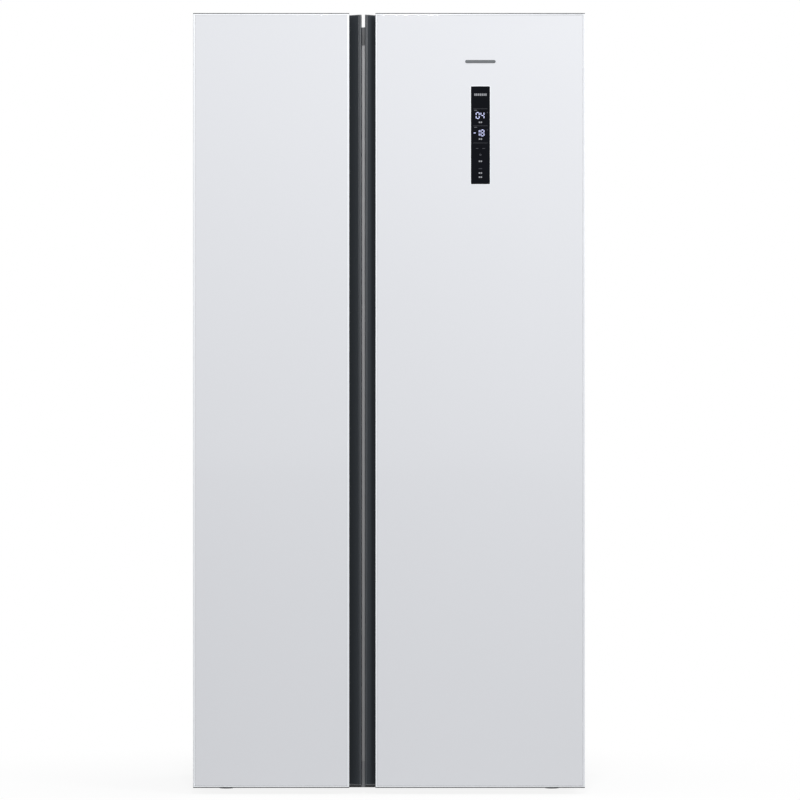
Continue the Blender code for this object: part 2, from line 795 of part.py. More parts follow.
def build_air_duct():
    x = (0.115, 0.259)
    y = (0.256, SPACE_BACK_Y - FIT_GAP)
    z = (0.600, SPACE_TOP_Z - 0.010)
    wall = 0.0025
    duct = block("duct", x, y, z)
    hollow_x = (x[0] + wall, x[1] - wall)
    hollow_z = (z[0] + wall, z[1] - wall)
    cut(duct, block("hollow", hollow_x, (y[0] + wall, y[1] + THROUGH), hollow_z))
    slot_half = 0.040
    slot_height = 0.012
    middle = (x[0] + x[1]) / 2
    for level in (0.690, 0.840, 1.060, 1.200, 1.420, 1.560):
        slot_x = (middle - slot_half, middle + slot_half)
        cut(duct, block("slot", slot_x, (y[0] - THROUGH, y[0] + 2 * wall), (level, level + slot_height)))
    finish(duct, "fridge_air_duct", "white_plastic")

    # The flap closes the duct below the outlet from the freezer.
    flap_z = 1.640
    flap_hinge = (middle, SPACE_BACK_Y - 0.0035, flap_z)
    flap_half = 0.050
    flap_y = (y[0] + wall + 0.003, flap_hinge[1] + 0.001)
    flap_sheet = 0.0015
    flap_x = (middle - flap_half, middle + flap_half)
    flap = block("flap", flap_x, flap_y, (flap_z - flap_sheet / 2, flap_z + flap_sheet / 2))
    finish(flap, "air_damper", "grey_plastic", pivot("damper_pivot", flap_hinge))


# ---------------------------------------------------------------- inside fittings

def build_shelf(name, space_x, back_y, level):
    """A glass plate with a deeper rim along its front edge."""
    outline = [
        (SHELF_FRONT_Y, level - SHELF_RIM + SHELF_GLASS),
        (SHELF_FRONT_Y + SHELF_GLASS, level - SHELF_RIM + SHELF_GLASS),
        (SHELF_FRONT_Y + SHELF_GLASS, level),
        (back_y, level),
        (back_y, level + SHELF_GLASS),
        (SHELF_FRONT_Y, level + SHELF_GLASS),
    ]
    low = space_x[0] + SIDE_GAP
    high = space_x[1] - SIDE_GAP
    body = prism("shelf", outline, low, high, "X")
    rim_clearance = LEDGE + SIDE_GAP
    for x in ((low - THROUGH, low + rim_clearance), (high - rim_clearance, high + THROUGH)):
        corner_y = (SHELF_FRONT_Y - THROUGH, SHELF_FRONT_Y + 2 * SHELF_GLASS)
        cut(body, block("corner", x, corner_y, (level - SHELF_RIM, level)))
    finish(body, name, "shelf_glass")


def build_shelves():
    for number, level in enumerate(FREEZER_SHELF_Z, start=1):
        build_shelf(f"freezer_shelf_{number}", FREEZER_SPACE_X, FREEZER_BACK_Y, level)
    for number, level in enumerate(FRIDGE_SHELF_Z, start=1):
        build_shelf(f"fridge_shelf_{number}", FRIDGE_SPACE_X, FRIDGE_BACK_Y, level)


def build_drawer(name, space_x, back_y, z):
    """A tray with a taller front that ends in a pull rim, and runners on its upper sides."""
    clearance = SIDE_GAP + LEDGE / 3
    x = (space_x[0] + clearance, space_x[1] - clearance)
    front_sheet = 0.006
    tray_y = (SHELF_FRONT_Y + front_sheet - DRAWER_WALL, back_y)
    tray = vessel("drawer", x, tray_y, (z[0], z[1] - 0.012), DRAWER_WALL)
    front_y = (SHELF_FRONT_Y, SHELF_FRONT_Y + front_sheet)
    front = prism("front", rounded_rectangle(x, (z[0] + 0.004, z[1]), 0.010), front_y[0], front_y[1], "Y")
    unite(tray, front)
    # The pull is a scoop in the upper edge of the front.
    middle = (x[0] + x[1]) / 2
    pull_half = 0.060
    pull_depth = 0.022
    pull_x = (middle - pull_half, middle + pull_half)
    scoop = rounded_rectangle(pull_x, (z[1] - pull_depth, z[1] + pull_depth), 0.012)
    cut(tray, prism("scoop", scoop, front_y[0] - THROUGH, front_y[1] + THROUGH, "Y"))
    finish(tray, name, "clear_plastic", pivot(name + "_slide", (middle, SHELF_FRONT_Y, z[0])))


def build_drawers():
    rows = (("lower", LOWER_DRAWER_BACK_Y, LOWER_DRAWER_Z), ("upper", UPPER_DRAWER_BACK_Y, UPPER_DRAWER_Z))
    for word, back_y, z in rows:
        build_drawer("freezer_drawer_" + word, FREEZER_SPACE_X, back_y, z)
        build_drawer("crisper_drawer_" + word, FRIDGE_SPACE_X, back_y, z)


# ---------------------------------------------------------------- doors

def notch(door, top, growth):
    """The corner cut out of a door for its upper or lower hinge."""
    x = door.span_x(-THROUGH, NOTCH_WIDTH + growth)
    y = (FRONT_Y + NOTCH_FRONT - growth, DOOR_BACK_Y + THROUGH)
    if top:
        z = (OVERALL_HEIGHT - NOTCH_HEIGHT - growth, OVERALL_HEIGHT + THROUGH)
    else:
        z = (DOOR_BOTTOM_Z - THROUGH, DOOR_BOTTOM_Z + NOTCH_HEIGHT + growth)
    return block("notch", x, y, z)


def notches(door, growth):
    return (notch(door, True, growth), notch(door, False, growth))


def hinge_bores(door):
    """Holes for the two hinge pins, one in the floor of each notch."""
    centre = (-door.side * HINGE_X, HINGE_Y)
    depth = PIN_LENGTH + THROUGH
    top_z = OVERALL_HEIGHT - NOTCH_HEIGHT
    bottom_z = DOOR_BOTTOM_Z + NOTCH_HEIGHT
    bore = circle(centre, PIN_BORE_RADIUS)
    return (
        prism("bore", bore, top_z - depth, top_z + THROUGH),
        prism("bore", bore, bottom_z - THROUGH, bottom_z + depth),
    )


def glass_recess(door, rim, depth):
    """The space in front of the edging, which leaves a rim around the glass."""
    x = door.span_x(rim, door.panel_width - rim)
    z = (DOOR_BOTTOM_Z + rim, OVERALL_HEIGHT - rim)
    return block("recess", x, (FRONT_Y - THROUGH, FRONT_Y + depth), z)


def core_solid(door, inset):
    """The space for foam inside the edge frame, inset from the door's outside."""
    front = GLASS_THICKNESS + 2 * FIT_GAP + inset
    depth = DOOR_THICKNESS - LINER_SHEET - FIT_GAP
    pocket = door.panel_width - POCKET_DEPTH - inset
    outline = [(inset, front), (pocket, front), (pocket, depth), (inset, depth)]
    core = prism("core", door.plan(outline), DOOR_BOTTOM_Z + inset, OVERALL_HEIGHT - inset)
    cut(core, *notches(door, inset))
    return core


def display_window(growth, depth):
    x = (DISPLAY_X - DISPLAY_WIDTH / 2 - growth, DISPLAY_X + DISPLAY_WIDTH / 2 + growth)
    z = (DISPLAY_BOTTOM_Z - growth, DISPLAY_TOP_Z + growth)
    return prism("display", rounded_rectangle(x, z, 0.002), FRONT_Y - THROUGH, FRONT_Y + depth, "Y")


def build_frame(door, hinge):
    x = door.span_x(0.0, door.panel_width - POCKET_DEPTH)
    y = (FRONT_Y, DOOR_BACK_Y - LINER_SHEET - FIT_GAP)
    frame = block("frame", x, y, (DOOR_BOTTOM_Z, OVERALL_HEIGHT))
    cut(frame, *notches(door, 0))
    cut(frame, glass_recess(door, EDGE_RIM, GLASS_THICKNESS + 2 * FIT_GAP))
    core = core_solid(door, EDGE_WALL)
    open_back_y = (DOOR_BACK_Y - LINER_SHEET - 2 * FIT_GAP, DOOR_BACK_Y)
    open_back_x = door.span_x(EDGE_WALL, door.panel_width - POCKET_DEPTH - EDGE_WALL)
    low_z = DOOR_BOTTOM_Z + NOTCH_HEIGHT + EDGE_WALL
    high_z = OVERALL_HEIGHT - NOTCH_HEIGHT - EDGE_WALL
    unite(core, block("mouth", open_back_x, open_back_y, (low_z, high_z)))
    cut(frame, core)
    cut(frame, *hinge_bores(door))
    if door is FRIDGE_DOOR:
        cut(frame, display_window(FIT_GAP, DISPLAY_DEPTH + FIT_GAP))
    finish(frame, door.name + "_door_frame", "door_edge_white", hinge)


def build_panel(door, hinge):
    """The glass and, bonded to its back and edge, the lip that stands over the grip pocket."""
    rim = EDGE_RIM + FIT_GAP
    x = door.span_x(rim, door.panel_width - rim)
    y = (FRONT_Y + FIT_GAP, FRONT_Y + GLASS_THICKNESS + FIT_GAP)
    panel = block("panel", x, y, (DOOR_BOTTOM_Z + rim, OVERALL_HEIGHT - rim))
    lip_x = door.span_x(door.panel_width - POCKET_DEPTH + FIT_GAP, door.panel_width)
    lip = block("lip", lip_x, (FRONT_Y, FRONT_Y + LIP_DEPTH), (DOOR_BOTTOM_Z, OVERALL_HEIGHT))
    bond = 2 * FIT_GAP
    cut(lip, glass_recess(door, rim + bond, GLASS_THICKNESS + FIT_GAP - bond))
    unite(panel, lip)
    if door is FRIDGE_DOOR:
        cut(panel, display_window(FIT_GAP, DISPLAY_DEPTH))
    finish(panel, door.name + "_door_panel", "door_glass_white", hinge)


def build_core(door, hinge):
    core = core_solid(door, EDGE_WALL + FIT_GAP)
    cut(core, *hinge_bores(door))
    if door is FRIDGE_DOOR:
        cut(core, display_window(FIT_GAP, DISPLAY_DEPTH + FIT_GAP))
    finish(core, door.name + "_door_foam", "insulation_foam", hinge)


def grip_outline(door):
    """Plan of the grip: a channel that slopes out of the pocket up to a nose at the gap."""
    edge = door.panel_width
    outer = edge + door.grip_width
    pocket = edge - POCKET_DEPTH + FIT_GAP
    back = DOOR_THICKNESS - LINER_SHEET - FIT_GAP
    nose_inner = edge + door.grip_width * NOSE_INNER_SHARE
    nose_outer = edge + door.grip_width * NOSE_OUTER_SHARE
    return [
        (pocket, POCKET_BACK),
        (nose_inner, NOSE_DEPTH + 0.0005),
        (nose_outer, NOSE_DEPTH),
        (outer - 0.0005, NOSE_DEPTH + 0.0030),
        (outer, NOSE_DEPTH + 0.0070),
        (outer, back),
        (pocket, back),
    ]


def build_grip(door, hinge):
    z = (DOOR_BOTTOM_Z + GRIP_BOTTOM_GAP, OVERALL_HEIGHT - GRIP_TOP_GAP)
    grip = prism("grip", door.plan(grip_outline(door)), z[0], z[1])
    finish(grip, door.name + "_door_grip", "grip_black", hinge)


def dyke_sides(door):
    """Outer sides of the ridge on the door's liner, which reaches into the space behind it."""
    x = (door.space_x[0] + DYKE_INSET, door.space_x[1] - DYKE_INSET)
    z = (SPACE_BOTTOM_Z + DYKE_INSET, SPACE_TOP_Z - DYKE_INSET)
    return x, z


def build_door_liner(door, hinge):
    plate_y = (DOOR_BACK_Y - LINER_SHEET, DOOR_BACK_Y)
    edge = 0.002
    plate_x = door.span_x(edge, door.width - edge)
    plate = block("plate", plate_x, plate_y, (DOOR_BOTTOM_Z + edge, OVERALL_HEIGHT - edge))
    x, z = dyke_sides(door)
    tip_y = DOOR_BACK_Y + DYKE_DEPTH
    draft = 0.004
    outer_corner = 0.014
    inner_corner = 0.010
    sheet_corner = 0.012
    inner_x = shrunk(x, DYKE_WIDTH)
    inner_z = shrunk(z, DYKE_WIDTH)
    ridge = tapered(x, z, (plate_y[0] + edge / 2, tip_y), draft, outer_corner)
    cut(ridge, tapered(inner_x, inner_z, (plate_y[0], tip_y + THROUGH), -draft, inner_corner))
    unite(plate, ridge)
    hollow_y = (plate_y[0] - THROUGH, tip_y - LINER_SHEET)
    hollow = tapered(shrunk(x, LINER_SHEET), shrunk(z, LINER_SHEET), hollow_y, draft, sheet_corner)
    keep_y = (plate_y[0] - 2 * THROUGH, tip_y + THROUGH)
    keep_x = shrunk(inner_x, -LINER_SHEET)
    keep_z = shrunk(inner_z, -LINER_SHEET)
    cut(hollow, tapered(keep_x, keep_z, keep_y, -draft, sheet_corner))
    cut(plate, hollow)
    cut(plate, *notches(door, 2 * FIT_GAP))
    finish(plate, door.name + "_door_liner", "liner_white", hinge)


def shrunk(span, inset):
    return (span[0] + inset, span[1] - inset)


def tapered(x, z, y, draft, corner):
    """A block that narrows by draft from its low to its high end, or widens if draft is negative."""
    rings = [
        place(rounded_rectangle(x, z, corner), y[0], "Y"),
        place(rounded_rectangle(shrunk(x, draft), shrunk(z, draft), corner), y[1], "Y"),
    ]
    return from_rings("tapered", rings)


def build_gasket(door, hinge):
    x = door.span_x(GASKET_OUTER_INSET, door.width - GASKET_INNER_INSET)
    z = (GASKET_BOTTOM_Z, CABINET_TOP_Z - GASKET_TOP_INSET)
    y = (DOOR_BACK_Y + FIT_GAP, CABINET_FRONT_Y - FIT_GAP)
    outer_corner = 0.006
    inner_corner = 0.004
    ring = prism("ring", rounded_rectangle(x, z, outer_corner), y[0], y[1], "Y")
    hole = rounded_rectangle(shrunk(x, GASKET_WIDTH), shrunk(z, GASKET_WIDTH), inner_corner)
    cut(ring, prism("hole", hole, y[0] - THROUGH, y[1] + THROUGH, "Y"))
    finish(ring, door.name + "_door_gasket", "gasket_grey", hinge)


def build_bins(door, hinge):
    dyke_x, _ = dyke_sides(door)
    inset = DYKE_WIDTH + FIT_GAP
    x = (dyke_x[0] + inset, dyke_x[1] - inset)
    y = (DOOR_BACK_Y + 2 * FIT_GAP, DOOR_BACK_Y + BIN_DEPTH)
    for number, level in enumerate(door.bin_heights, start=1):
        tray = vessel("bin", x, y, (level, level + BIN_HEIGHT), BIN_WALL, corner=0.010, draft=0.004)
        finish(tray, f"{door.name}_door_bin_{number}", "clear_plastic", hinge)


def build_display(hinge):
    x = (DISPLAY_X - DISPLAY_WIDTH / 2, DISPLAY_X + DISPLAY_WIDTH / 2)
    z = (DISPLAY_BOTTOM_Z, DISPLAY_TOP_Z)
    y = (FRONT_Y + FIT_GAP, FRONT_Y + DISPLAY_DEPTH)
    panel = prism("display", rounded_rectangle(x, z, 0.002), y[0], y[1], "Y")
    finish(panel, "display_panel", "display_black", hinge)


def build_door(door):
    hinge = pivot(door.name + "_door_hinge", (-door.side * HINGE_X, HINGE_Y, DOOR_BOTTOM_Z))
    build_panel(door, hinge)
    build_frame(door, hinge)
    build_core(door, hinge)
    build_grip(door, hinge)
    build_door_liner(door, hinge)
    build_gasket(door, hinge)
    build_bins(door, hinge)
    if door is FRIDGE_DOOR:
        build_display(hinge)


# ---------------------------------------------------------------- hinge brackets and covers

def arm_outline(door, front_y, back_y, back_reach):
    """Plan of a hinge arm: round at the pin, and widening inwards over the cabinet."""
    pin_x = -door.side * HINGE_X
    inward = door.side
    points = []
    steps = 8
    for step in range(steps + 1):
        angle = math.pi * step / steps
        across = HINGE_ARM * math.cos(angle)
        points.append((pin_x + inward * across, HINGE_Y - HINGE_ARM * math.sin(angle)))
    points.append((pin_x - inward * HINGE_ARM, back_y))
    points.append((pin_x + inward * back_reach, back_y))
    points.append((pin_x + inward * back_reach, front_y))
    return points


def build_upper_hinge(door, word):
    low = CABINET_TOP_Z + FIT_GAP
    high = low + HINGE_PLATE
    front = CABINET_FRONT_Y + 0.020
    back = CABINET_FRONT_Y + 0.075
    hinge = prism("upper", arm_outline(door, front, back, UPPER_REACH), low, high)
    pin = circle((-door.side * HINGE_X, HINGE_Y), PIN_RADIUS)
    pin_tip = OVERALL_HEIGHT - NOTCH_HEIGHT - PIN_LENGTH
    unite(hinge, prism("pin", pin, pin_tip, low + HINGE_PLATE / 2))
    finish(hinge, "upper_hinge_" + word, "zinc_steel")


def build_lower_hinge(door, word):
    """An arm under the door's pin, with a flange against the bottom rail."""
    door_gap = 0.003
    high = DOOR_BOTTOM_Z + NOTCH_HEIGHT - door_gap
    low = high - HINGE_PLATE
    back = CABINET_FRONT_Y - FIT_GAP
    front = back - HINGE_PLATE
    hinge = prism("lower", arm_outline(door, front, back, LOWER_REACH), low, high)
    flange_x = sorted((-door.side * (HINGE_X + HINGE_ARM), -door.side * (HINGE_X - LOWER_REACH)))
    flange_bottom = DOOR_BOTTOM_Z + 0.006
    unite(hinge, block("flange", flange_x, (front, back), (flange_bottom, low + HINGE_PLATE / 2)))
    pin = circle((-door.side * HINGE_X, HINGE_Y), PIN_RADIUS)
    unite(hinge, prism("pin", pin, high - HINGE_PLATE / 2, high + door_gap + PIN_LENGTH))
    finish(hinge, "lower_hinge_" + word, "zinc_steel")


def build_hinge_cover(door, word):
    """A cap over the upper hinge, open below."""
    low = CABINET_TOP_Z + FIT_GAP
    high = OVERALL_HEIGHT - 0.006
    roof = 0.002
    growth = 0.0015
    wall = 0.0012
    front = CABINET_FRONT_Y + 0.012
    back = CABINET_FRONT_Y + 0.095
    outer = offset_outline(arm_outline(door, front, back, COVER_REACH), growth)
    cover = prism("cover", outer, low, high)
    cut(cover, prism("hollow", offset_outline(outer, -wall), low - THROUGH, high - roof))
    finish(cover, "hinge_cover_" + word, "grey_plastic")


# ---------------------------------------------------------------- the whole refrigerator

def build_cooling():
    build_compressor()
    build_condenser()
    build_drip_tray()
    build_fan("condenser_fan", (-0.150, 0.235, 0.160), "X", 0.055, 0.018)
    build_fan("evaporator_fan", (-0.246, 0.250, 0.760), "Y", 0.060, 0.020)
    build_evaporator()
    build_evaporator_cover()
    build_air_duct()


def build_refrigerator():
    clear_scene()
    build_shell()
    build_liners()
    build_foam()
    build_face_strips()
    build_back()
    build_inlet()
    build_base()
    build_supports()
    build_cooling()
    build_shelves()
    build_drawers()
    for door, word in zip(DOORS, ("left", "right")):
        build_door(door)
        build_upper_hinge(door, word)
        build_lower_hinge(door, word)
        build_hinge_cover(door, word)


build_refrigerator()
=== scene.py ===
import math
from collections import namedtuple

import bmesh
import bpy
from mathutils import Matrix, Vector
from mathutils.geometry import interpolate_bezier


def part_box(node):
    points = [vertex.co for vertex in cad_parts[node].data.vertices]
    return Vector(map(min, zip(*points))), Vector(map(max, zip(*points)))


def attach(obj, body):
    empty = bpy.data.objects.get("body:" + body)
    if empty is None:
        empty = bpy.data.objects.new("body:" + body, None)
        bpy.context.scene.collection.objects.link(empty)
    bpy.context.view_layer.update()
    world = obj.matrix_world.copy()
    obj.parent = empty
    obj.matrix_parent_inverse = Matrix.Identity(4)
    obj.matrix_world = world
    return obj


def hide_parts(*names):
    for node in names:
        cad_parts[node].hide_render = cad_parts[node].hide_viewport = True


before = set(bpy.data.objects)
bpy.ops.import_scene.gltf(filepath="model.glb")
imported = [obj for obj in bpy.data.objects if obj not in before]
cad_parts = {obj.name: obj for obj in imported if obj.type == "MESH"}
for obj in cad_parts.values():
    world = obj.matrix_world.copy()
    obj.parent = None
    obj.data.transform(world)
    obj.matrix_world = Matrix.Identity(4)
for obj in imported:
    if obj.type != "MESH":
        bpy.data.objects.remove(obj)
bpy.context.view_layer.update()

# Looks of the side by side refrigerator. Metres, +Z up, the doors face -Y.


class Box:
    """The box of a CAD node, with its span along each axis."""

    def __init__(self, node):
        self.low, self.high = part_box(node)
        self.x, self.y, self.z = zip(self.low, self.high)
        self.middle = (self.low + self.high) / 2


# ---- sizes

FINE = 0.0003  # air between a new piece and its neighbour
THROUGH = 0.004  # how far a cutter runs past a face
TOUCHING = 0.0002  # an edge this near a face lies on it

# Edging, lip and grip of a door, measured from its front backwards
EDGE_RIM = 0.0045
EDGE_ROUND = 0.0017
GLASS_BACK = 0.0046
GLASS_CORNER = 0.0012
GLASS_CHAMFER = 0.0004
LIP_DEPTH = 0.008
LIP_OVERLAP = 0.001
POCKET_DEPTH = 0.018
POCKET_BACK = 0.045
LINING_THICKNESS = 0.0011
NOSE_DEPTH = 0.004
NOSE_INNER_SHARE = 0.82
NOSE_OUTER_SHARE = 0.93
NOSE_INNER_ROUNDING = ((-0.0002, 0.0020), (0.0, 0.0008), (0.0004, 0.0002), (0.0012, 0.0))
NOSE_OUTER_ROUNDING = ((-0.0006, 0.0022), (-0.0001, 0.0045), (0.0, 0.0070))
GROOVE_FROM_NOSE = 0.0022
GROOVE_WIDTH = 0.0014
GROOVE_DEPTH = 0.0013
# The end caps' dark grey is partly their own plastic and partly painted shade along the door's top and bottom
# edges.
DOOR_CAP = 0.0021  # height of the grey end caps of a door
GRIP_CAP = 0.0014

# Display, with the levels of its marks measured down from its top
DISPLAY = Box("display_panel")
DISPLAY_CORNER = 0.002
DISPLAY_PLAY = 0.0005
BEZEL_PROFILE = ((0.0018, 0.0001), (0.0016, -0.0003), (0.0003, -0.0003), (0.0001, 0.0001))
MARK_PROUD = 0.00012
MARK_SUNK = 0.0001
SEGMENTS = {"0": "abcdef", "1": "bc", "4": "bcfg", "8": "abcdefg"}
SEGMENT_GAP_SHARE = 0.18
RING_HOLE_SHARE = 0.6
DIGIT = {"width": 0.0070, "height": 0.0152, "stroke": 0.0015, "pitch": 0.0110}
DIGITS_LEFT = 0.0098
TEMPERATURES = (("04", 0.0745), ("18", 0.1145))
MINUS_LEFT = 0.0130
MINUS_LEVEL = 0.1070
STATUS_BARS = 7
STATUS_LEFT = 0.0125
STATUS_PITCH = 0.0042
STATUS_LEVEL = 0.0190
LABEL_LEVELS = (0.0825, 0.1210, 0.1720, 0.1990, 0.2085)
DIVIDER_LEVELS = (0.0515, 0.0905, 0.1300)
DEGREE_LEVELS = (0.0600, 0.1000)
ZONE_LEVELS = (0.0550, 0.0940)
KEY_LEVELS = (0.1425, 0.1570, 0.1890)
BADGE_ABOVE_DISPLAY = 0.0570
BADGE_SIZE = (0.0700, 0.0072)
BADGE_CORNER = 0.0035
BADGE_PROUD = 0.0006

# Back of a door
NOTCH_WIDTH = 0.078
NOTCH_HEIGHT = 0.033
NOTCH_FRONT = 0.019
NOTCH_PLAY = 0.0006
DYKE_INSET = 0.012
DYKE_WIDTH = 0.026
DYKE_CORNER = 0.022
DYKE_PROFILE = (
    (-0.0040, 0.0), (-0.0012, 0.0008), (0.0002, 0.0035), (0.0030, 0.0260), (0.0042, 0.0310),
    (0.0075, 0.0336), (0.0110, 0.0340),
)
SEAL_WIDTH = 0.014
SEAL_CORNER = 0.018
BIN_COUNT = {"freezer": 3, "fridge": 4}

# Cabinet and its cold spaces
SHELL = Box("cabinet_shell")
FACE_Y = SHELL.low.y  # front plane of the cabinet
SHELL_BEND = 0.008
BEND_STEPS = 6
SHELL_SHEET = 0.001
SHELL_FLANGE = 0.012
SPACE_X = {"freezer": (-0.400, -0.092), "fridge": (-0.026, 0.400)}
SPACE_Z = (0.100, 1.700)
SPACE_BACK_Y = 0.283
SPACE_CORNER = 0.010
STEP_Y = (0.060, 0.088)  # the floor rises here, over the machine room
STEP_Z = 0.335
MOUTH_ROUND = 0.003
LINER_SHEET = 0.0015
SHELF_COUNT = 3
SHELF_GLASS = 0.004
# Section of the moulding on a shelf's front edge: distances behind the front of its box, and heights
# over the underside of its glass
SHELF_NOSE = (
    (-0.0020, -0.0070), (-0.0035, -0.0050), (-0.0035, SHELF_GLASS + 0.0015), (-0.0020, SHELF_GLASS + 0.0035),
    (0.0090, SHELF_GLASS + 0.0035), (0.0110, SHELF_GLASS + 0.0015), (0.0110, SHELF_GLASS + FINE),
    (0.0056, SHELF_GLASS + FINE), (0.0056, -FINE), (0.0110, -FINE), (0.0110, -0.0040), (0.0090, -0.0070),
)
LEDGE_ROOM = 0.009
DRAWERS = {
    "freezer": ("freezer_drawer_lower", "freezer_drawer_upper"),
    "fridge": ("crisper_drawer_lower", "crisper_drawer_upper"),
}
DRAWER_FRONT = 0.0062
SCOOP_HALF_WIDTH = 0.060
SCOOP_DEPTH = 0.022
RIB_PITCH = 0.055
LAMP_HALF_WIDTH = 0.060
LAMP_Y = (-0.130, -0.085)

# Cooling, back and machine room
GRILLE_RADII = (0.012, 0.022, 0.032, 0.042)
FIN_PITCH = 0.0062
FIN_THICKNESS = 0.0006
PIPE_ROWS = 5
COVER_SCREW_X = (-0.255, -0.105, 0.045, 0.240)
LOUVRE_X = (-0.330, -0.180, -0.030, 0.120)
LOUVRE_ROWS = 8
LOUVRE_TOP_Z = 0.101  # top of the lowest louvre
LOUVRE_PITCH = 0.022
LOUVRE_HALF_WIDTH = 0.0575
HOOD_SECTION = ((-0.0002, 0.0), (0.0004, 0.0006), (0.0034, -0.0034), (0.0030, -0.0042))
GROMMET_OFFSET = 0.062
# Pipe paths, measured from the middle of the compressor's top
DISCHARGE_PATH = ((0.030, 0.0, -0.022), (0.030, 0.0, 0.012), (0.050, -0.020, 0.024), (0.080, -0.040, 0.018))
SUCTION_PATH = ((-0.030, 0.0, -0.022), (-0.032, 0.0, 0.010), (-0.040, -0.030, 0.026), (-0.040, -0.070, 0.030))
CONTROL_BOX = ((0.215, 0.405), (0.150, 0.290), (0.056, 0.250))
CONTROL_BOX_LID = ((0.212, 0.408), (0.2903, 0.2960), (0.054, 0.252))

# Stage
FLOOR_RADIUS = 60.0
FLOOR_BOUNCE = 0.12
FLOOR_FADE = (0.35, 1.5)  # the matt floor turns plain white between these distances
FLOOR_WHITE_NEAR = 0.88
WHITE = (1.0, 1.0, 1.0, 1.0)
FLOOR_GREY = (0.95, 0.95, 0.95, 1.0)
SKY_COLOUR = (0.97, 0.985, 1.0, 1.0)
SKY_STRENGTH = 0.49
# Name, place, target, size and power in watts
LAMPS = (
    ("front", (-0.05, -6.0, 3.2), (-0.05, -0.35, 1.3), (0.5, 1.0), 195.0),
    ("key", (2.4, -3.4, 3.6), (0.4, -0.35, 1.8), (1.6, 1.6), 76.0),
    ("back", (2.5, 4.5, 2.6), (0.0, 0.3, 0.9), (3.0, 2.5), 70.0),
)
CAMERA_DISTANCE = 12.0
CAMERA_X = 0.0253
CAMERA_Z = 0.9061
VIEW_WIDTH = 1.8375
SENSOR_WIDTH = 36.0  # millimetres

SHARP_ANGLE = math.radians(35)  # edges sharper than this stay sharp to the eye
BEVEL_ANGLE = math.radians(30)  # edges sharper than this can be rounded


class Door:
    """Where one door's parts are, with a measured from its hinge side towards the gap."""

    def __init__(self, name, side):
        self.name = name
        self.body = name + "_door"
        self.side = side
        self.edge = Box(name + "_door_frame")
        self.grip = Box(name + "_door_grip")
        self.liner = Box(name + "_door_liner")
        self.seal = Box(name + "_door_gasket")
        glass = Box(name + "_door_panel")
        self.front = self.edge.low.y
        self.back = self.seal.low.y - FINE
        self.panel_width = glass.high.x - glass.low.x + EDGE_RIM + FINE
        gap_x = self.grip.high.x if side > 0 else self.grip.low.x
        self.width = abs(gap_x - self.x(0))

    def x(self, a):
        outer = self.edge.low.x if self.side > 0 else self.edge.high.x
        return outer + self.side * a

    def span(self, a_low, a_high):
        return tuple(sorted((self.x(a_low), self.x(a_high))))

    def plan(self, outline):
        """An outline given as (a, distance behind the front), in x and y."""
        return [(self.x(a), self.front + behind) for a, behind in outline]


FREEZER = Door("freezer", 1)
FRIDGE = Door("fridge", -1)


# ---- shapes

# Where x, y and z come from, out of an outline's two numbers and its level
AXES = {"X": (2, 0, 1), "Y": (0, 2, 1), "Z": (0, 1, 2)}


def place(outline, level, axis="Y"):
    """The points of an outline, laid at a level across an axis."""
    return [[(u, v, level)[index] for index in AXES[axis]] for u, v in outline]


def shrunk(span, inset):
    return (span[0] + inset, span[1] - inset)


def around(middle, half):
    return (middle - half, middle + half)


def rectangle(first, second):
    return [(first[0], second[0]), (first[1], second[0]), (first[1], second[1]), (first[0], second[1])]


def rounded(first, second, radius, segments=5):
    """A rectangle with round corners, starting at its upper right corner."""
    left, right = shrunk(first, radius)
    low, high = shrunk(second, radius)
    points = []
    for quarter, centre in enumerate(((right, high), (left, high), (left, low), (right, low))):
        for step in range(segments + 1):
            angle = math.pi / 2 * (quarter + step / segments)
            points.append((centre[0] + radius * math.cos(angle), centre[1] + radius * math.sin(angle)))
    return points


def inset_ring(x, z, inset, radius, y):
    """A rounded rectangle across Y, moved inwards from its spans by the inset."""
    return place(rounded(shrunk(x, inset), shrunk(z, inset), radius), y)


def circle(centre, radius, segments=24):
    turns = [2 * math.pi * step / segments for step in range(segments)]
    return [(centre[0] + radius * math.cos(turn), centre[1] + radius * math.sin(turn)) for turn in turns]


def add(name, data):
    thing = bpy.data.objects.new(name, data)
    bpy.context.scene.collection.objects.link(thing)
    return thing


def object_from(name, form):
    mesh = bpy.data.meshes.new(name)
    form.to_mesh(mesh)
    form.free()
    return add(name, mesh)


def loft(name, rings, looped=False, open_front=False):
    """Skin a stack of equal rings. A looped stack closes on itself, any other gets end faces."""
    form = bmesh.new()
    loops = [[form.verts.new(point) for point in ring] for ring in rings]
    pairs = list(zip(loops, loops[1:]))
    if looped:
        pairs.append((loops[-1], loops[0]))
    for lower, upper in pairs:
        for index in range(len(lower)):
            following = (index + 1) % len(lower)
            form.faces.new((lower[index], lower[following], upper[following], upper[index]))
    if not (looped or open_front):
        form.faces.new(loops[0])
    if not looped:
        form.faces.new(loops[-1])
    if not open_front:
        bmesh.ops.recalc_face_normals(form, faces=form.faces)
    return object_from(name, form)


def prism(name, outline, span, axis="Y"):
    return loft(name, [place(outline, level, axis) for level in span])


def block(name, x, y, z):
    return prism(name, rectangle(x, y), z, "Z")


def soft_block(name, x, y, z, edge, segments=3):
    """A block with rounded edges."""
    return bevel(block(name, x, y, z), edge, segments)


def turned(name, profile, centre, segments=32):
    rings = [place(circle(centre, radius, segments), centre[2] + height, "Z") for radius, height in profile]
    return loft(name, rings)


def modified(piece, kind, **settings):
    """Apply one modifier to a piece."""
    modifier = piece.modifiers.new(kind, kind)
    for setting, value in settings.items():
        setattr(modifier, setting, value)
    graph = bpy.context.evaluated_depsgraph_get()
    mesh = bpy.data.meshes.new_from_object(piece.evaluated_get(graph))
    piece.modifiers.clear()
    piece.data = mesh
    return piece


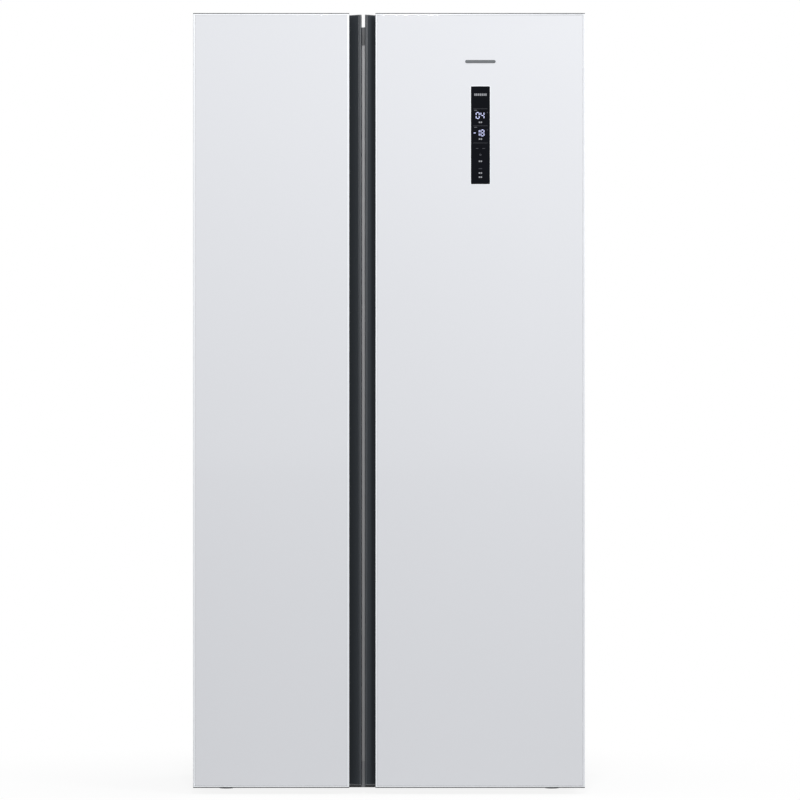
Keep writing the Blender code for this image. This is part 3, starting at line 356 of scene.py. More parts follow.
def combine(piece, operation, *others):
    for other in others:
        modified(piece, "BOOLEAN", operation=operation, solver="EXACT", object=other)
        bpy.data.objects.remove(other, do_unlink=True)
    return piece


def cut(piece, *cutters):
    return combine(piece, "DIFFERENCE", *cutters)


def bevel(piece, width, segments=2, chosen=None):
    """Round the sharp edges of a piece, or only those whose middle is chosen."""
    form = bmesh.new()
    form.from_mesh(piece.data)
    bmesh.ops.remove_doubles(form, verts=form.verts, dist=1e-6)
    bmesh.ops.dissolve_limit(
        form, angle_limit=math.radians(0.5), verts=form.verts, edges=form.edges, use_dissolve_boundaries=False
    )
    edges = []
    for edge in form.edges:
        if len(edge.link_faces) != 2 or edge.calc_face_angle() < BEVEL_ANGLE:
            continue
        start, end = (corner.co for corner in edge.verts)
        if chosen is None or chosen((start + end) / 2):
            edges.append(edge)
    bmesh.ops.bevel(
        form, geom=edges, offset=width, segments=segments, profile=0.5, affect="EDGES", clamp_overlap=True
    )
    form.to_mesh(piece.data)
    form.free()
    return piece


def joined(name, pieces):
    """One object that holds the meshes of several."""
    form = bmesh.new()
    for piece in pieces:
        form.from_mesh(piece.data)
        bpy.data.objects.remove(piece, do_unlink=True)
    return object_from(name, form)


def rod(name, points, radius, sides=10):
    """A round bar through the points, with flat ends."""
    section = [Vector((u, v, 0.0)) for u, v in circle((0.0, 0.0), radius, sides)]
    rings = []
    for index, point in enumerate(points):
        before = Vector(points[max(index - 1, 0)])
        after = Vector(points[min(index + 1, len(points) - 1)])
        turn = (after - before).normalized().to_track_quat("Z", "Y")
        rings.append([Vector(point) + turn @ corner for corner in section])
    return loft(name, rings)


def smooth_path(points, steps=8):
    """Points along a smooth curve through the given ones."""
    path = []
    padded = [points[0], *points, points[-1]]
    for before, start, end, after in zip(padded, padded[1:], padded[2:], padded[3:]):
        leaving = start + (end - before) / 6
        arriving = end - (after - start) / 6
        path += interpolate_bezier(start, leaving, arriving, end, steps + 1)[:-1]
    return path + [points[-1]]


def screw(centre, axis, radius=0.004, height=0.0018):
    """A pan head with a cross recess. It stands on the plane through centre, towards axis."""
    profile = ((radius, 0.0), (radius, height * 0.35), (radius * 0.82, height * 0.8), (radius * 0.45, height))
    head = turned("screw", profile, (0.0, 0.0, 0.0), 20)
    across = around(0.0, radius * 0.5)
    narrow = around(0.0, radius * 0.16)
    for x, y in ((across, narrow), (narrow, across)):
        cut(head, block("recess", x, y, (height * 0.45, height * 2)))
    turn = Vector(axis).to_track_quat("Z", "Y").to_matrix().to_4x4()
    head.data.transform(Matrix.Translation(centre) @ turn)
    return head


# ---- finishes

Finish = namedtuple("Finish", "material slot")
MADE = {}


def fill(node, sockets):
    for socket, value in sockets.items():
        node.inputs[socket].default_value = value


def add_node(tree, kind, sockets=None, **settings):
    """A new shader node with its sockets and settings filled in."""
    node = tree.nodes.new("ShaderNode" + kind)
    fill(node, sockets or {})
    for setting, value in settings.items():
        setattr(node, setting, value)
    return node


def wire(source, output, target, socket):
    source.id_data.links.new(source.outputs[output], target.inputs[socket])


def surface(name, slot, colour, roughness, metallic=0.0, tint=0.03, patch=5.0, spread=0.05,
            grain=600.0, relief=0.00002, stretch=(1.0, 1.0, 1.0), sockets=None):
    """A finish whose colour drifts in soft patches, with a fine grain in its gloss and relief."""
    if name in MADE:
        return MADE[name]
    material = bpy.data.materials.new(name)
    material.use_nodes = True
    tree = material.node_tree
    shader = tree.nodes["Principled BSDF"]
    fill(shader, {"Metallic": metallic, **(sockets or {})})

    position = add_node(tree, "TexCoord")
    mapping = add_node(tree, "Mapping", {"Scale": stretch})
    wire(position, "Object", mapping, "Vector")

    patches = add_node(tree, "TexNoise", {"Scale": patch, "Detail": 4.0})
    ramp = add_node(tree, "ValToRGB")
    for stop, place_at, factor in zip(ramp.color_ramp.elements, (0.3, 0.7), (1 - tint, 1 + tint)):
        stop.position = place_at
        stop.color = (*[min(channel * factor, 1.0) for channel in colour], 1.0)
    wire(mapping, "Vector", patches, "Vector")
    wire(patches, "Fac", ramp, "Fac")
    wire(ramp, "Color", shader, "Base Color")

    grains = add_node(tree, "TexNoise", {"Scale": grain, "Detail": 3.0})
    limits = {"To Min": max(roughness - spread, 0.01), "To Max": roughness + spread}
    gloss = add_node(tree, "MapRange", {"From Min": 0.3, "From Max": 0.7, **limits})
    bump = add_node(tree, "Bump", {"Strength": 0.5, "Distance": relief})
    wire(mapping, "Vector", grains, "Vector")
    wire(grains, "Fac", gloss, "Value")
    wire(gloss, "Result", shader, "Roughness")
    wire(grains, "Fac", bump, "Height")
    wire(bump, "Normal", shader, "Normal")
    MADE[name] = Finish(material, slot)
    return MADE[name]


def white_glass():
    """White glass painted on its back: a clear, level coat over a soft white ground."""
    return surface(
        "white_glass", "door_glass_white", (0.725, 0.735, 0.765), 0.55, tint=0.006, patch=1.2, spread=0.02,
        grain=40.0, relief=0.000002,
        sockets={"Coat Weight": 0.8, "Coat Roughness": 0.04, "Specular IOR Level": 0.05},
    )


# Pale trim of the door edging and the display bezel: its own light colour, made lighter still to paint the
# highlight along these edges.
def pale_trim_and_edge_highlight():
    return surface(
        "pale_trim_and_edge_highlight", "door_edge_white", (0.88, 0.90, 0.93), 0.22, tint=0.01, spread=0.04, grain=900.0,
        stretch=(1.0, 1.0, 0.05), sockets={"Coat Weight": 0.5, "Coat Roughness": 0.08},
    )


def black_anodised():
    return surface(
        "black_anodised", "grip_black", (0.049, 0.056, 0.064), 0.38, metallic=0.1, tint=0.06, patch=9.0,
        grain=1400.0, relief=0.00001, stretch=(1.0, 1.0, 0.04),
    )


def dark_cap():
    return surface(
        "dark_cap", "grip_black", (0.16, 0.165, 0.175), 0.45, tint=0.05, grain=1500.0, relief=0.00003
    )


# Dark grey plastic of the door's end caps, made darker than the plastic alone to paint the shade on the
# rounded top and bottom edges.
def cap_plastic_painted_shade():
    return surface(
        "cap_plastic_painted_shade", "trim_grey", (0.085, 0.087, 0.092), 0.6, tint=0.04, grain=1300.0, relief=0.00004,
        sockets={"Specular IOR Level": 0.3},
    )


def grey_trim():
    return surface(
        "grey_trim", "trim_grey", (0.125, 0.13, 0.138), 0.55, tint=0.05, grain=1100.0, relief=0.00004
    )


def display_glass():
    return surface(
        "display_glass", "display_black", (0.004, 0.0045, 0.007), 0.05, tint=0.15, patch=14.0, spread=0.02,
        grain=60.0, relief=0.000002, sockets={"Specular IOR Level": 0.10},
    )


def glow(name, slot, colour, strength, body=0.05):
    """A lit part. Body is how much of its colour is left when it is dark."""
    return surface(
        name, slot, [channel * body for channel in colour], 0.4, tint=0.04, patch=200.0,
        sockets={"Emission Color": (*colour, 1.0), "Emission Strength": strength, "Specular IOR Level": 0.10},
    )


def cabinet_paint():
    """Silver grey enamel on sheet steel, with a faint orange peel."""
    return surface(
        "cabinet_paint", "cabinet_steel", (0.46, 0.47, 0.49), 0.42, metallic=0.2, tint=0.02, patch=3.0,
        grain=260.0, relief=0.00005, sockets={"Coat Weight": 0.1, "Coat Roughness": 0.25},
    )


def satin_silver(name, colour, stretch):
    return surface(
        name, "mullion_silver", colour, 0.50, metallic=0.15, patch=7.0, spread=0.04, grain=700.0,
        stretch=stretch,
    )


def silver_strip():
    return satin_silver("silver_strip", (0.375, 0.38, 0.39), (1.0, 1.0, 0.06))


# The bottom rail's silver: the mullion's finish painted darker, standing in for the shade that falls on the
# rail under the doors.
def painted_shade_rail_silver():
    return satin_silver("painted_shade_rail_silver", (0.27, 0.275, 0.285), (0.06, 1.0, 1.0))


def liner_plastic():
    """Vacuum-formed white sheet, slightly wavy in its gloss."""
    return surface(
        "liner_plastic", "liner_white", (0.83, 0.845, 0.86), 0.30, tint=0.012, patch=3.0, spread=0.03,
        grain=220.0,
    )


def seal_rubber():
    return surface(
        "seal_rubber", "gasket_grey", (0.36, 0.37, 0.385), 0.62, tint=0.05, patch=30.0, grain=900.0,
        relief=0.00005,
    )


def clear_glass():
    return surface(
        "clear_glass", "shelf_glass", (0.86, 0.94, 0.92), 0.04, tint=0.02, patch=3.0, spread=0.02, grain=20.0,
        relief=0.000003, sockets={"Transmission Weight": 0.92, "IOR": 1.45, "Alpha": 0.75},
    )


def frosted_clear():
    """Clear moulded plastic of the drawers and bins, with a light frost."""
    return surface(
        "frosted_clear", "clear_plastic", (0.93, 0.955, 0.975), 0.10, tint=0.015, patch=6.0, grain=350.0,
        relief=0.00003, sockets={"Transmission Weight": 0.85, "IOR": 1.18, "Alpha": 0.62},
    )


def white_moulding():
    return surface(
        "white_moulding", "white_plastic", (0.80, 0.81, 0.82), 0.36, tint=0.015, grain=900.0, relief=0.00004
    )


def moulding(name, slot, colour, tint):
    return surface(name, slot, colour, 0.5, tint=tint, patch=20.0, grain=1300.0, relief=0.00008)


def grey_moulding():
    return moulding("grey_moulding", "grey_plastic", (0.30, 0.31, 0.33), 0.04)


def black_moulding():
    return moulding("black_moulding", "black_plastic", (0.022, 0.022, 0.024), 0.1)


def black_rubber():
    return surface(
        "black_rubber", "black_plastic", (0.02, 0.02, 0.02), 0.75, tint=0.15, patch=60.0, grain=900.0,
        relief=0.0001,
    )


def bright_strip():
    return surface(
        "bright_strip", "zinc_steel", (0.72, 0.73, 0.74), 0.2, metallic=0.95, grain=900.0,
        stretch=(0.05, 1.0, 1.0),
    )


def zinc():
    return surface(
        "zinc", "zinc_steel", (0.56, 0.57, 0.57), 0.36, metallic=0.9, tint=0.08, patch=60.0, spread=0.1,
        grain=500.0,
    )


def dark_screw():
    return surface(
        "dark_screw", "zinc_steel", (0.22, 0.22, 0.23), 0.35, metallic=0.9, tint=0.1, patch=200.0, grain=900.0
    )


def copper():
    return surface(
        "copper", "black_steel", (0.72, 0.36, 0.20), 0.3, metallic=1.0, tint=0.12, patch=30.0, spread=0.1,
        grain=500.0,
    )


def fins():
    return surface(
        "fins", "fin_aluminium", (0.72, 0.73, 0.75), 0.28, metallic=1.0, tint=0.05, patch=20.0, grain=800.0,
        spread=0.08,
    )


def black_enamel():
    return surface(
        "black_enamel", "black_steel", (0.012, 0.012, 0.013), 0.28, tint=0.2, patch=25.0, grain=300.0,
        relief=0.00004,
    )


def foam():
    return surface("foam", None, (0.78, 0.66, 0.40), 0.9, tint=0.1, patch=40.0, grain=250.0, relief=0.0006)


# ---- placing pieces

def settle_normals(piece):
    """Smooth the roundings and keep the broad faces flat."""
    piece.data.shade_smooth()
    piece.data.set_sharp_from_angle(angle=SHARP_ANGLE)
    modified(piece, "WEIGHTED_NORMAL", keep_sharp=True, weight=100)


def fit(piece, finish, body="cabinet", node=None):
    """Give a piece its finish, hang it on its body, and let it stand for a CAD node."""
    settle_normals(piece)
    piece.data.materials.clear()
    piece.data.materials.append(finish.material)
    for face in piece.data.polygons:
        face.material_index = 0
    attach(piece, body)
    if node:
        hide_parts(node)


def fit_block(name, x, y, z, edge, finish, body="cabinet", segments=3):
    fit(soft_block(name, x, y, z, edge, segments), finish, body)


def fit_row(name, spans, y, z, edge, finish, body="cabinet", segments=3):
    """One object of equal blocks, side by side at the given spans along X."""
    fit(joined(name, [soft_block("block", x, y, z, edge, segments) for x in spans]), finish, body)


def copy_of(node, name):
    return add(name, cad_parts[node].data.copy())


def fit_copy(node, name, finish, edge, segments):
    """A copy of a CAD node with its edges rounded, which stands for it."""
    fit(bevel(copy_of(node, name), edge, segments), finish, node=node)


def repaint(finish, *nodes):
    """Finish CAD nodes that keep their own shape."""
    for node in nodes:
        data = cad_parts[node].data
        data.materials.clear()
        data.materials.append(finish.material)


# ---- door fronts

def display_outline(growth):
    """Outline of the display, grown on every side."""
    return rounded(shrunk(DISPLAY.x, -growth), shrunk(DISPLAY.z, -growth), DISPLAY_CORNER + growth, 4)


def build_glass(door):
    rim = EDGE_RIM + FINE
    x = door.span(rim, door.panel_width - rim)
    y = (door.front + FINE, door.front + GLASS_BACK - FINE)
    pane = prism(door.name + "_white_glass", rounded(x, shrunk(door.edge.z, rim), GLASS_CORNER, 3), y)
    if door is FRIDGE:
        cut(pane, prism("window", display_outline(DISPLAY_PLAY), shrunk(y, -THROUGH)))
    bevel(pane, GLASS_CHAMFER)
    fit(pane, white_glass(), door.body, door.name + "_door_panel")


def edge_with_lip(door):
    """The edge frame's own shape with the bar of the lip added, rounded at its front."""
    edge = copy_of(door.name + "_door_frame", door.name + "_edge_frame")
    x = door.span(0.0, door.panel_width)
    z = door.edge.z
    lip_x = door.span(door.panel_width - POCKET_DEPTH - LIP_OVERLAP, door.panel_width)
    lip = block("lip", lip_x, (door.front, door.front + LIP_DEPTH), z)
    recess_y = (door.front - THROUGH, door.front + GLASS_BACK)
    cut(lip, block("recess", shrunk(x, EDGE_RIM), recess_y, shrunk(z, EDGE_RIM)))
    combine(edge, "UNION", lip)

    def on_outer_edge(middle):
        side_distance = min(middle.x - x[0], x[1] - middle.x, middle.z - z[0], z[1] - middle.z)
        return middle.y < door.front + TOUCHING and side_distance < TOUCHING

    return bevel(edge, EDGE_ROUND, 4, on_outer_edge)


def build_edge(door):
    """The edging around the glass, with a dark grey cap across its top and its bottom, whose darkness is
    partly the cap's own plastic and partly painted shade.
    """
    edge = edge_with_lip(door)
    low, high = door.edge.z
    slab_x = door.span(-THROUGH, door.panel_width + THROUGH)
    slab_y = (door.front - THROUGH, door.back + THROUGH)
    ends = {"top": (high - DOOR_CAP, high + THROUGH), "bottom": (low - THROUGH, low + DOOR_CAP)}
    for word, slab_z in ends.items():
        cap = add(f"{door.name}_door_cap_{word}", edge.data.copy())
        combine(cap, "INTERSECT", block("slab", slab_x, slab_y, slab_z))
        # The cap's dark colour paints part of the shade along the door's top and bottom edges.
        fit(cap, cap_plastic_painted_shade(), door.body)
        cut(edge, block("slab", slab_x, slab_y, slab_z))
    # The edging's pale colour paints part of the highlight along the door's edges.
    fit(edge, pale_trim_and_edge_highlight(), door.body, door.name + "_door_frame")


def grip_outline(door):
    """Plan of the grip: a channel that slopes out of the pocket, a fine groove, and the nose."""
    edge = door.panel_width
    outer = door.width
    back = door.grip.high.y - door.front
    pocket = edge - POCKET_DEPTH + FINE
    inner_nose = edge + (outer - edge) * NOSE_INNER_SHARE
    outer_nose = edge + (outer - edge) * NOSE_OUTER_SHARE
    groove = inner_nose - GROOVE_FROM_NOSE
    slope = (NOSE_DEPTH - POCKET_BACK) / (inner_nose - pocket)
    groove_front = POCKET_BACK + slope * (groove - pocket)
    groove_floor = groove_front + GROOVE_DEPTH
    outline = [(pocket, POCKET_BACK), (groove, groove_front)]
    outline += [(groove + 0.0004, groove_floor), (groove + GROOVE_WIDTH, groove_floor)]
    outline += [(inner_nose + a, NOSE_DEPTH + depth) for a, depth in NOSE_INNER_ROUNDING]
    outline += [(outer_nose, NOSE_DEPTH), (outer_nose + 0.0008, NOSE_DEPTH + 0.0004)]
    outline += [(outer + a, NOSE_DEPTH + depth) for a, depth in NOSE_OUTER_ROUNDING]
    return door.plan(outline + [(outer, back), (pocket, back)])


def lining_outline(door):
    """Plan of the dark lining on the pocket's side wall and on the back of the lip."""
    wall = door.panel_width - POCKET_DEPTH
    air = 0.0001
    tip = door.panel_width - 0.0006
    corner = LINING_THICKNESS + 0.0015
    return door.plan([
        (wall + air, LIP_DEPTH + air), (tip, LIP_DEPTH + air), (tip, LIP_DEPTH + LINING_THICKNESS),
        (wall + corner, LIP_DEPTH + LINING_THICKNESS), (wall + LINING_THICKNESS, LIP_DEPTH + corner),
        (wall + LINING_THICKNESS, POCKET_BACK - 0.0016), (wall + air, POCKET_BACK - 0.0002),
    ])


def build_grip(door):
    outline = grip_outline(door)
    low, high = door.grip.z
    inner = shrunk(door.grip.z, GRIP_CAP)
    profile = prism(door.name + "_grip_profile", outline, inner, "Z")
    fit(profile, black_anodised(), door.body, door.name + "_door_grip")
    lining = prism(door.name + "_grip_lining", lining_outline(door), door.grip.z, "Z")
    fit(lining, black_anodised(), door.body)
    for word, z in (("top", (inner[1], high)), ("bottom", (low, inner[0]))):
        fit(prism(f"{door.name}_grip_cap_{word}", outline, z, "Z"), dark_cap(), door.body)


# ---- display

def pointed_bar(start, end, level, half):
    """Outline of a bar with pointed ends, along its first axis."""
    near, far = start + half, end - half
    under, over = level - half, level + half
    return [(start, level), (near, under), (far, under), (end, level), (far, over), (near, over)]


def segment_shape(word, x, z, width, height, stroke):
    """Outline of one bar of a seven-bar digit whose lower left corner is at x, z."""
    half = stroke / 2
    gap = half + stroke * SEGMENT_GAP_SHARE
    levels = {"a": z + height - half, "g": z + height / 2, "d": z + half}
    if word in levels:
        return pointed_bar(x + gap, x + width - gap, levels[word], half)
    column = x + (width if word in "bc" else 0.0)
    foot = z + (height / 2 if word in "bf" else 0.0)
    return [(u, v) for v, u in pointed_bar(foot + gap, foot + height / 2 - gap, column, half)]


def flat_mark(outline):
    return prism("mark", outline, (DISPLAY.low.y - MARK_PROUD, DISPLAY.low.y + MARK_SUNK))


def bar_mark(x, level, width, height):
    z = DISPLAY.high.z - level
    return flat_mark(rectangle(around(x, width / 2), around(z, height / 2)))


def digit_marks(text, x, z, width, height, stroke, pitch):
    places = [(word, x + index * pitch) for index, sign in enumerate(text) for word in SEGMENTS[sign]]
    return [flat_mark(segment_shape(word, left, z, width, height, stroke)) for word, left in places]


def ring_mark(x, level, radius):
    centre = (x, DISPLAY.high.z - level)
    front = DISPLAY.low.y - MARK_PROUD
    back = DISPLAY.low.y + MARK_SUNK
    inner_radius = radius * RING_HOLE_SHARE
    section = ((radius, front), (inner_radius, front), (inner_radius, back), (radius, back))
    return loft("mark", [place(circle(centre, size, 16), y) for size, y in section], looped=True)


def fit_marks(name, marks, colour, strength):
    fit(joined(name, marks), glow(name + "_glow", "display_black", colour, strength), "fridge_door")


def build_display():
    """The black glass in its bezel, whose brightness is partly its own pale trim and partly a painted
    highlight.
    """
    slab = bevel(prism("display_slab", display_outline(0.0), DISPLAY.y), 0.0005)
    fit(slab, display_glass(), "fridge_door", "display_panel")
    rings = [place(display_outline(growth), DISPLAY.low.y + depth) for growth, depth in BEZEL_PROFILE]
    fit(loft("display_bezel", rings, looped=True), pale_trim_and_edge_highlight(), "fridge_door")


def build_display_marks():
    """Two temperatures, and bars and rings in place of words, in three strengths of light."""
    centre = DISPLAY.middle.x
    bright = []
    for text, level in TEMPERATURES:
        bright += digit_marks(text, centre - DIGITS_LEFT, DISPLAY.high.z - level, **DIGIT)
    bright.append(bar_mark(centre - MINUS_LEFT, MINUS_LEVEL, 0.0046, DIGIT["stroke"]))
    fit_marks("display_digits", bright, (0.64, 0.67, 1.0), 1.45)

    status_x = [centre - STATUS_LEFT + STATUS_PITCH * step for step in range(STATUS_BARS)]
    pale = [bar_mark(x, STATUS_LEVEL, 0.0028, 0.0052) for x in status_x]
    for level in LABEL_LEVELS:
        pale += [bar_mark(x, level, 0.0032, 0.0032) for x in around(centre, 0.0022)]
    fit_marks("display_labels", pale, (0.62, 0.63, 0.68), 0.50)

    dim = [bar_mark(centre, level, 0.0330, 0.0005) for level in DIVIDER_LEVELS]
    dim += [ring_mark(centre + 0.0160, level, 0.0012) for level in DEGREE_LEVELS]
    dim += [bar_mark(centre - 0.0110, level, 0.0066, 0.0018) for level in ZONE_LEVELS]
    dim += [bar_mark(x, KEY_LEVELS[0], 0.0060, 0.0008) for x in around(centre, 0.0075)]
    dim += [ring_mark(centre, KEY_LEVELS[1], 0.0022), bar_mark(centre, KEY_LEVELS[2], 0.0080, 0.0009)]
    fit_marks("display_dim_marks", dim, (0.30, 0.31, 0.36), 0.28)


def build_badge():
    """A plain raised bar above the display, where a name plate would be."""
    x = around(DISPLAY.middle.x, BADGE_SIZE[0] / 2)
    z = around(DISPLAY.high.z + BADGE_ABOVE_DISPLAY, BADGE_SIZE[1] / 2)
    face = Box("fridge_door_panel").low.y
    plate = prism("blank_badge", rounded(x, z, BADGE_CORNER), (face - BADGE_PROUD, face + 0.0001))
    fit(bevel(plate, 0.0002), black_anodised(), "fridge_door")


# ---- door backs

def notch_cutters(door):
    """The corners that the hinges need, with a little more room than the frame's own."""
    x = door.span(-THROUGH, NOTCH_WIDTH + NOTCH_PLAY)
    y = (door.front + NOTCH_FRONT, door.back + THROUGH)
    low, high = shrunk(door.edge.z, NOTCH_HEIGHT + NOTCH_PLAY)
    spans = ((high, door.edge.high.z + THROUGH), (door.edge.low.z - THROUGH, low))
    return [block("notch", x, y, z) for z in spans]


def build_door_liner(door):
    """A formed sheet: flat margin, rounded ridge all round, and the recess for the bins."""
    x, z = door.liner.x, door.liner.z
    corner = 0.003
    fillet = 0.0006
    rings = [
        inset_ring(x, z, 0.0, corner, door.liner.low.y),
        inset_ring(x, z, 0.0, corner, door.back - fillet),
        inset_ring(x, z, fillet, corner, door.back),
    ]
    falling = [(DYKE_WIDTH - inset, depth) for inset, depth in reversed(DYKE_PROFILE)]
    for inset, depth in (*DYKE_PROFILE, *falling):
        radius = DYKE_CORNER - inset * 0.4
        rings.append(inset_ring(SPACE_X[door.name], SPACE_Z, DYKE_INSET + inset, radius, door.back + depth))
    sheet = loft(door.name + "_door_inner_sheet", rings)
    cut(sheet, *notch_cutters(door))
    fit(sheet, liner_plastic(), door.body, door.name + "_door_liner")


def build_seal(door):
    """A magnetic gasket: foot in the door, folded bellows, and the magnet bar against the cabinet."""
    foot, face = door.seal.y
    half = [
        (0.0040, foot), (0.0004, foot + 0.0004), (0.0000, foot + 0.0018), (0.0022, foot + 0.0030),
        (0.0040, foot + 0.0040), (0.0018, foot + 0.0052), (0.0008, face - 0.0044), (0.0010, face - 0.0012),
        (0.0022, face - 0.0003), (0.0040, face),
    ]
    profile = half + [(SEAL_WIDTH - inset, y) for inset, y in reversed(half)]
    rings = [inset_ring(door.seal.x, door.seal.z, inset, SEAL_CORNER - inset, y) for inset, y in profile]
    fit(loft(door.name + "_seal", rings, looped=True), seal_rubber(), door.body, door.name + "_door_gasket")


def tray(name, x, y, z, wall, corner, draft, rim):
    """An open tray with a rounded rim, from the outside of its floor to the inside."""
    round_off = 0.003
    low, high = z
    inner = wall + draft
    profile = (
        (draft + round_off, low), (draft + round_off * 0.3, low + round_off * 0.3), (draft, low + round_off),
        (draft * 0.1, high - rim), (0.0, high - rim * 0.9), (0.0, high - rim * 0.2),
        (wall * 0.4, high), (wall * 1.2, high), (wall * 1.6, high - rim * 0.2),
        (wall + draft * 0.1, high - rim), (inner, low + wall + round_off), (inner + round_off, low + wall),
    )
    outlines = [(rounded(shrunk(x, inset), shrunk(y, inset), corner), level) for inset, level in profile]
    return loft(name, [place(outline, level, "Z") for outline, level in outlines])


def build_bin(door, node):
    """One bin: the clear tray, a bright rail along its open side, and a lug at each end."""
    box = Box(node)
    low, high = box.low, box.high
    body = tray(node + "_tray", box.x, box.y, box.z, 0.0022, 0.012, 0.004, 0.010)
    fit(body, frosted_clear(), door.body, node)
    rail_y = (high.y - 0.0016, high.y + 0.0012)
    rail_z = (high.z - 0.030, high.z - 0.012)
    fit_block(node + "_rail", shrunk(box.x, 0.014), rail_y, rail_z, 0.0008, bright_strip(), door.body)
    proud, sunk = 0.0004, 0.0024
    lug_spans = ((low.x - proud, low.x + sunk), (high.x - sunk, high.x + proud))
    lug_y = (low.y + 0.006, low.y + 0.024)
    lug_z = (low.z + 0.030, low.z + 0.070)
    fit_row(node + "_lugs", lug_spans, lug_y, lug_z, 0.0006, white_moulding(), door.body)


# ---- cabinet

def shell_outline(inset):
    """The arch of the sheet, open at its foot, moved inwards by the inset."""
    left, right = shrunk(SHELL.x, inset)
    foot, top = SHELL.z
    bends = rounded((left, right), (foot, top - inset), SHELL_BEND - inset, BEND_STEPS)
    return [(right, foot), *bends[:2 * (BEND_STEPS + 1)], (left, foot)]


def build_shell():
    """The bent sheet of sides and top, with its narrow front returns."""
    body = prism("cabinet_outside", shell_outline(0.0), SHELL.y)
    below = SHELL.low.z - THROUGH
    hollow = [(x, z if z > SHELL.low.z else below) for x, z in shell_outline(SHELL_SHEET)]
    cut(body, prism("hollow", hollow, (FACE_Y + SHELL_SHEET, SHELL.high.y + THROUGH)))
    mouth_y = (FACE_Y - THROUGH, FACE_Y + 2 * SHELL_SHEET)
    mouth_z = (below, SHELL.high.z - SHELL_SHEET)
    cut(body, block("mouth", shrunk(SHELL.x, SHELL_FLANGE), mouth_y, mouth_z))
    fit(body, cabinet_paint(), node="cabinet_shell")


def space_rings(name):
    """Rings of one cold space, from its flange round its mouth to its back wall."""
    flange = Box(name + "_liner")
    rings = [inset_ring(flange.x, flange.z, 0.0, 0.0006, y) for y in (FACE_Y + 0.0012, FACE_Y)]
    raised = (STEP_Z, SPACE_Z[1])

    def add_ring(inset, y, z=raised, radius=SPACE_CORNER):
        rings.append(inset_ring(SPACE_X[name], z, inset, radius, y))

    turns = [math.pi / 2 * step / 3 for step in range(4)]
    for turn in turns:
        add_ring(-MOUTH_ROUND * (1 - math.sin(turn)), FACE_Y + MOUTH_ROUND * (1 - math.cos(turn)), SPACE_Z)
    add_ring(0.0, STEP_Y[0], SPACE_Z)
    add_ring(0.0, STEP_Y[1])
    add_ring(0.0, SPACE_BACK_Y - SPACE_CORNER)
    for turn in turns[1:]:
        inset = SPACE_CORNER * (1 - math.cos(turn))
        y = SPACE_BACK_Y - SPACE_CORNER * (1 - math.sin(turn))
        add_ring(inset, y, radius=SPACE_CORNER - inset * 0.6)
    return rings


def build_space_liner(name):
    """The thin wall of one cold space, open at the front, with its thickness on the outside."""
    wall = loft(name + "_space_liner", space_rings(name), open_front=True)
    modified(wall, "SOLIDIFY", thickness=LINER_SHEET, offset=-1, use_even_offset=True)
    fit(wall, liner_plastic(), node=name + "_liner")


def build_ledges(name):
    """The ledges on both side walls that carry the shelves and the upper drawer."""
    shelf = Box(f"{name}_shelf_1")
    front_y = shelf.low.y + 0.002
    bars = []

    def add_pair(level, reach, height, back_y, edge):
        for wall_x, inward in zip(SPACE_X[name], (1, -1)):
            bar_x = sorted((wall_x - inward * 0.0006, wall_x + inward * reach))
            bars.append(soft_block("ledge", bar_x, (front_y, back_y), (level - height, level), edge))

    for number in range(1, SHELF_COUNT + 1):
        top = Box(f"{name}_shelf_{number}").high.z
        add_pair(top - SHELF_GLASS - FINE, 0.007, 0.007, shelf.high.y, 0.0022)
    add_pair(Box(DRAWERS[name][1]).low.z - FINE, 0.0155, 0.008, shelf.high.y - 0.01, 0.0025)
    fit(joined(name + "_side_ledges", bars), liner_plastic())


def build_shelf(node):
    """A glass shelf with a moulded front, a bright strip on it, and a stop at the rear."""
    box = Box(node)
    front, back = box.y
    low, high = box.high.z - SHELF_GLASS, box.high.z
    pane = prism(node + "_glass", rounded(box.x, (front + 0.006, back - 0.004), 0.006), (low, high), "Z")
    fit(bevel(pane, 0.0006), clear_glass(), node=node)
    trim_x = shrunk(box.x, LEDGE_ROOM)
    nose = [(front + behind, low + over) for behind, over in SHELF_NOSE]
    trim = prism(node + "_front_trim", nose, trim_x, "X")
    fit(bevel(trim, 0.0006), white_moulding())
    strip_y = (front - 0.0041, front - 0.0033)
    strip_z = (low - 0.0030, high - 0.0005)
    strip_x = shrunk(trim_x, 0.004)
    fit_block(node + "_bright_strip", strip_x, strip_y, strip_z, 0.0003, bright_strip(), segments=2)
    stop_y = (back - 0.0085, back)
    stop_z = (high + FINE, high + 0.009)
    fit_block(node + "_rear_trim", shrunk(box.x, 0.001), stop_y, stop_z, 0.0015, white_moulding())


def build_drawer(node):
    """A clear tray with ribs on its floor, behind a front with a scooped grip and a white band."""
    box = Box(node)
    low, high = box.low, box.high
    middle = box.middle.x
    tray_y = (low.y + DRAWER_FRONT + FINE, high.y)
    body = tray(node + "_tray", box.x, tray_y, (low.z, high.z - 0.012), 0.0026, 0.014, 0.006, 0.012)
    fit(body, frosted_clear(), node, node)

    front_y = (low.y, low.y + DRAWER_FRONT)
    front = prism(node + "_front", rounded(box.x, (low.z + 0.004, high.z), 0.012, 6), front_y)
    scoop = rounded(around(middle, SCOOP_HALF_WIDTH), around(high.z, SCOOP_DEPTH), 0.014, 6)
    cut(front, prism("scoop", scoop, shrunk(front_y, -THROUGH)))
    fit(bevel(front, 0.0016, 3), frosted_clear(), node)

    band_y = (low.y - 0.0012, low.y + 0.0002)
    band_z = (high.z - 0.044, high.z - 0.028)
    fit_block(node + "_band", shrunk(box.x, 0.016), band_y, band_z, 0.0005, white_moulding(), node, 2)

    rib_y = shrunk(tray_y, 0.02)
    rib_z = (low.z + 0.0020, low.z + 0.0042)
    rib_spans = [around(middle + RIB_PITCH * step, 0.0015) for step in range(-2, 3)]
    fit_row(node + "_floor_ribs", rib_spans, rib_y, rib_z, 0.0006, frosted_clear(), node, 2)


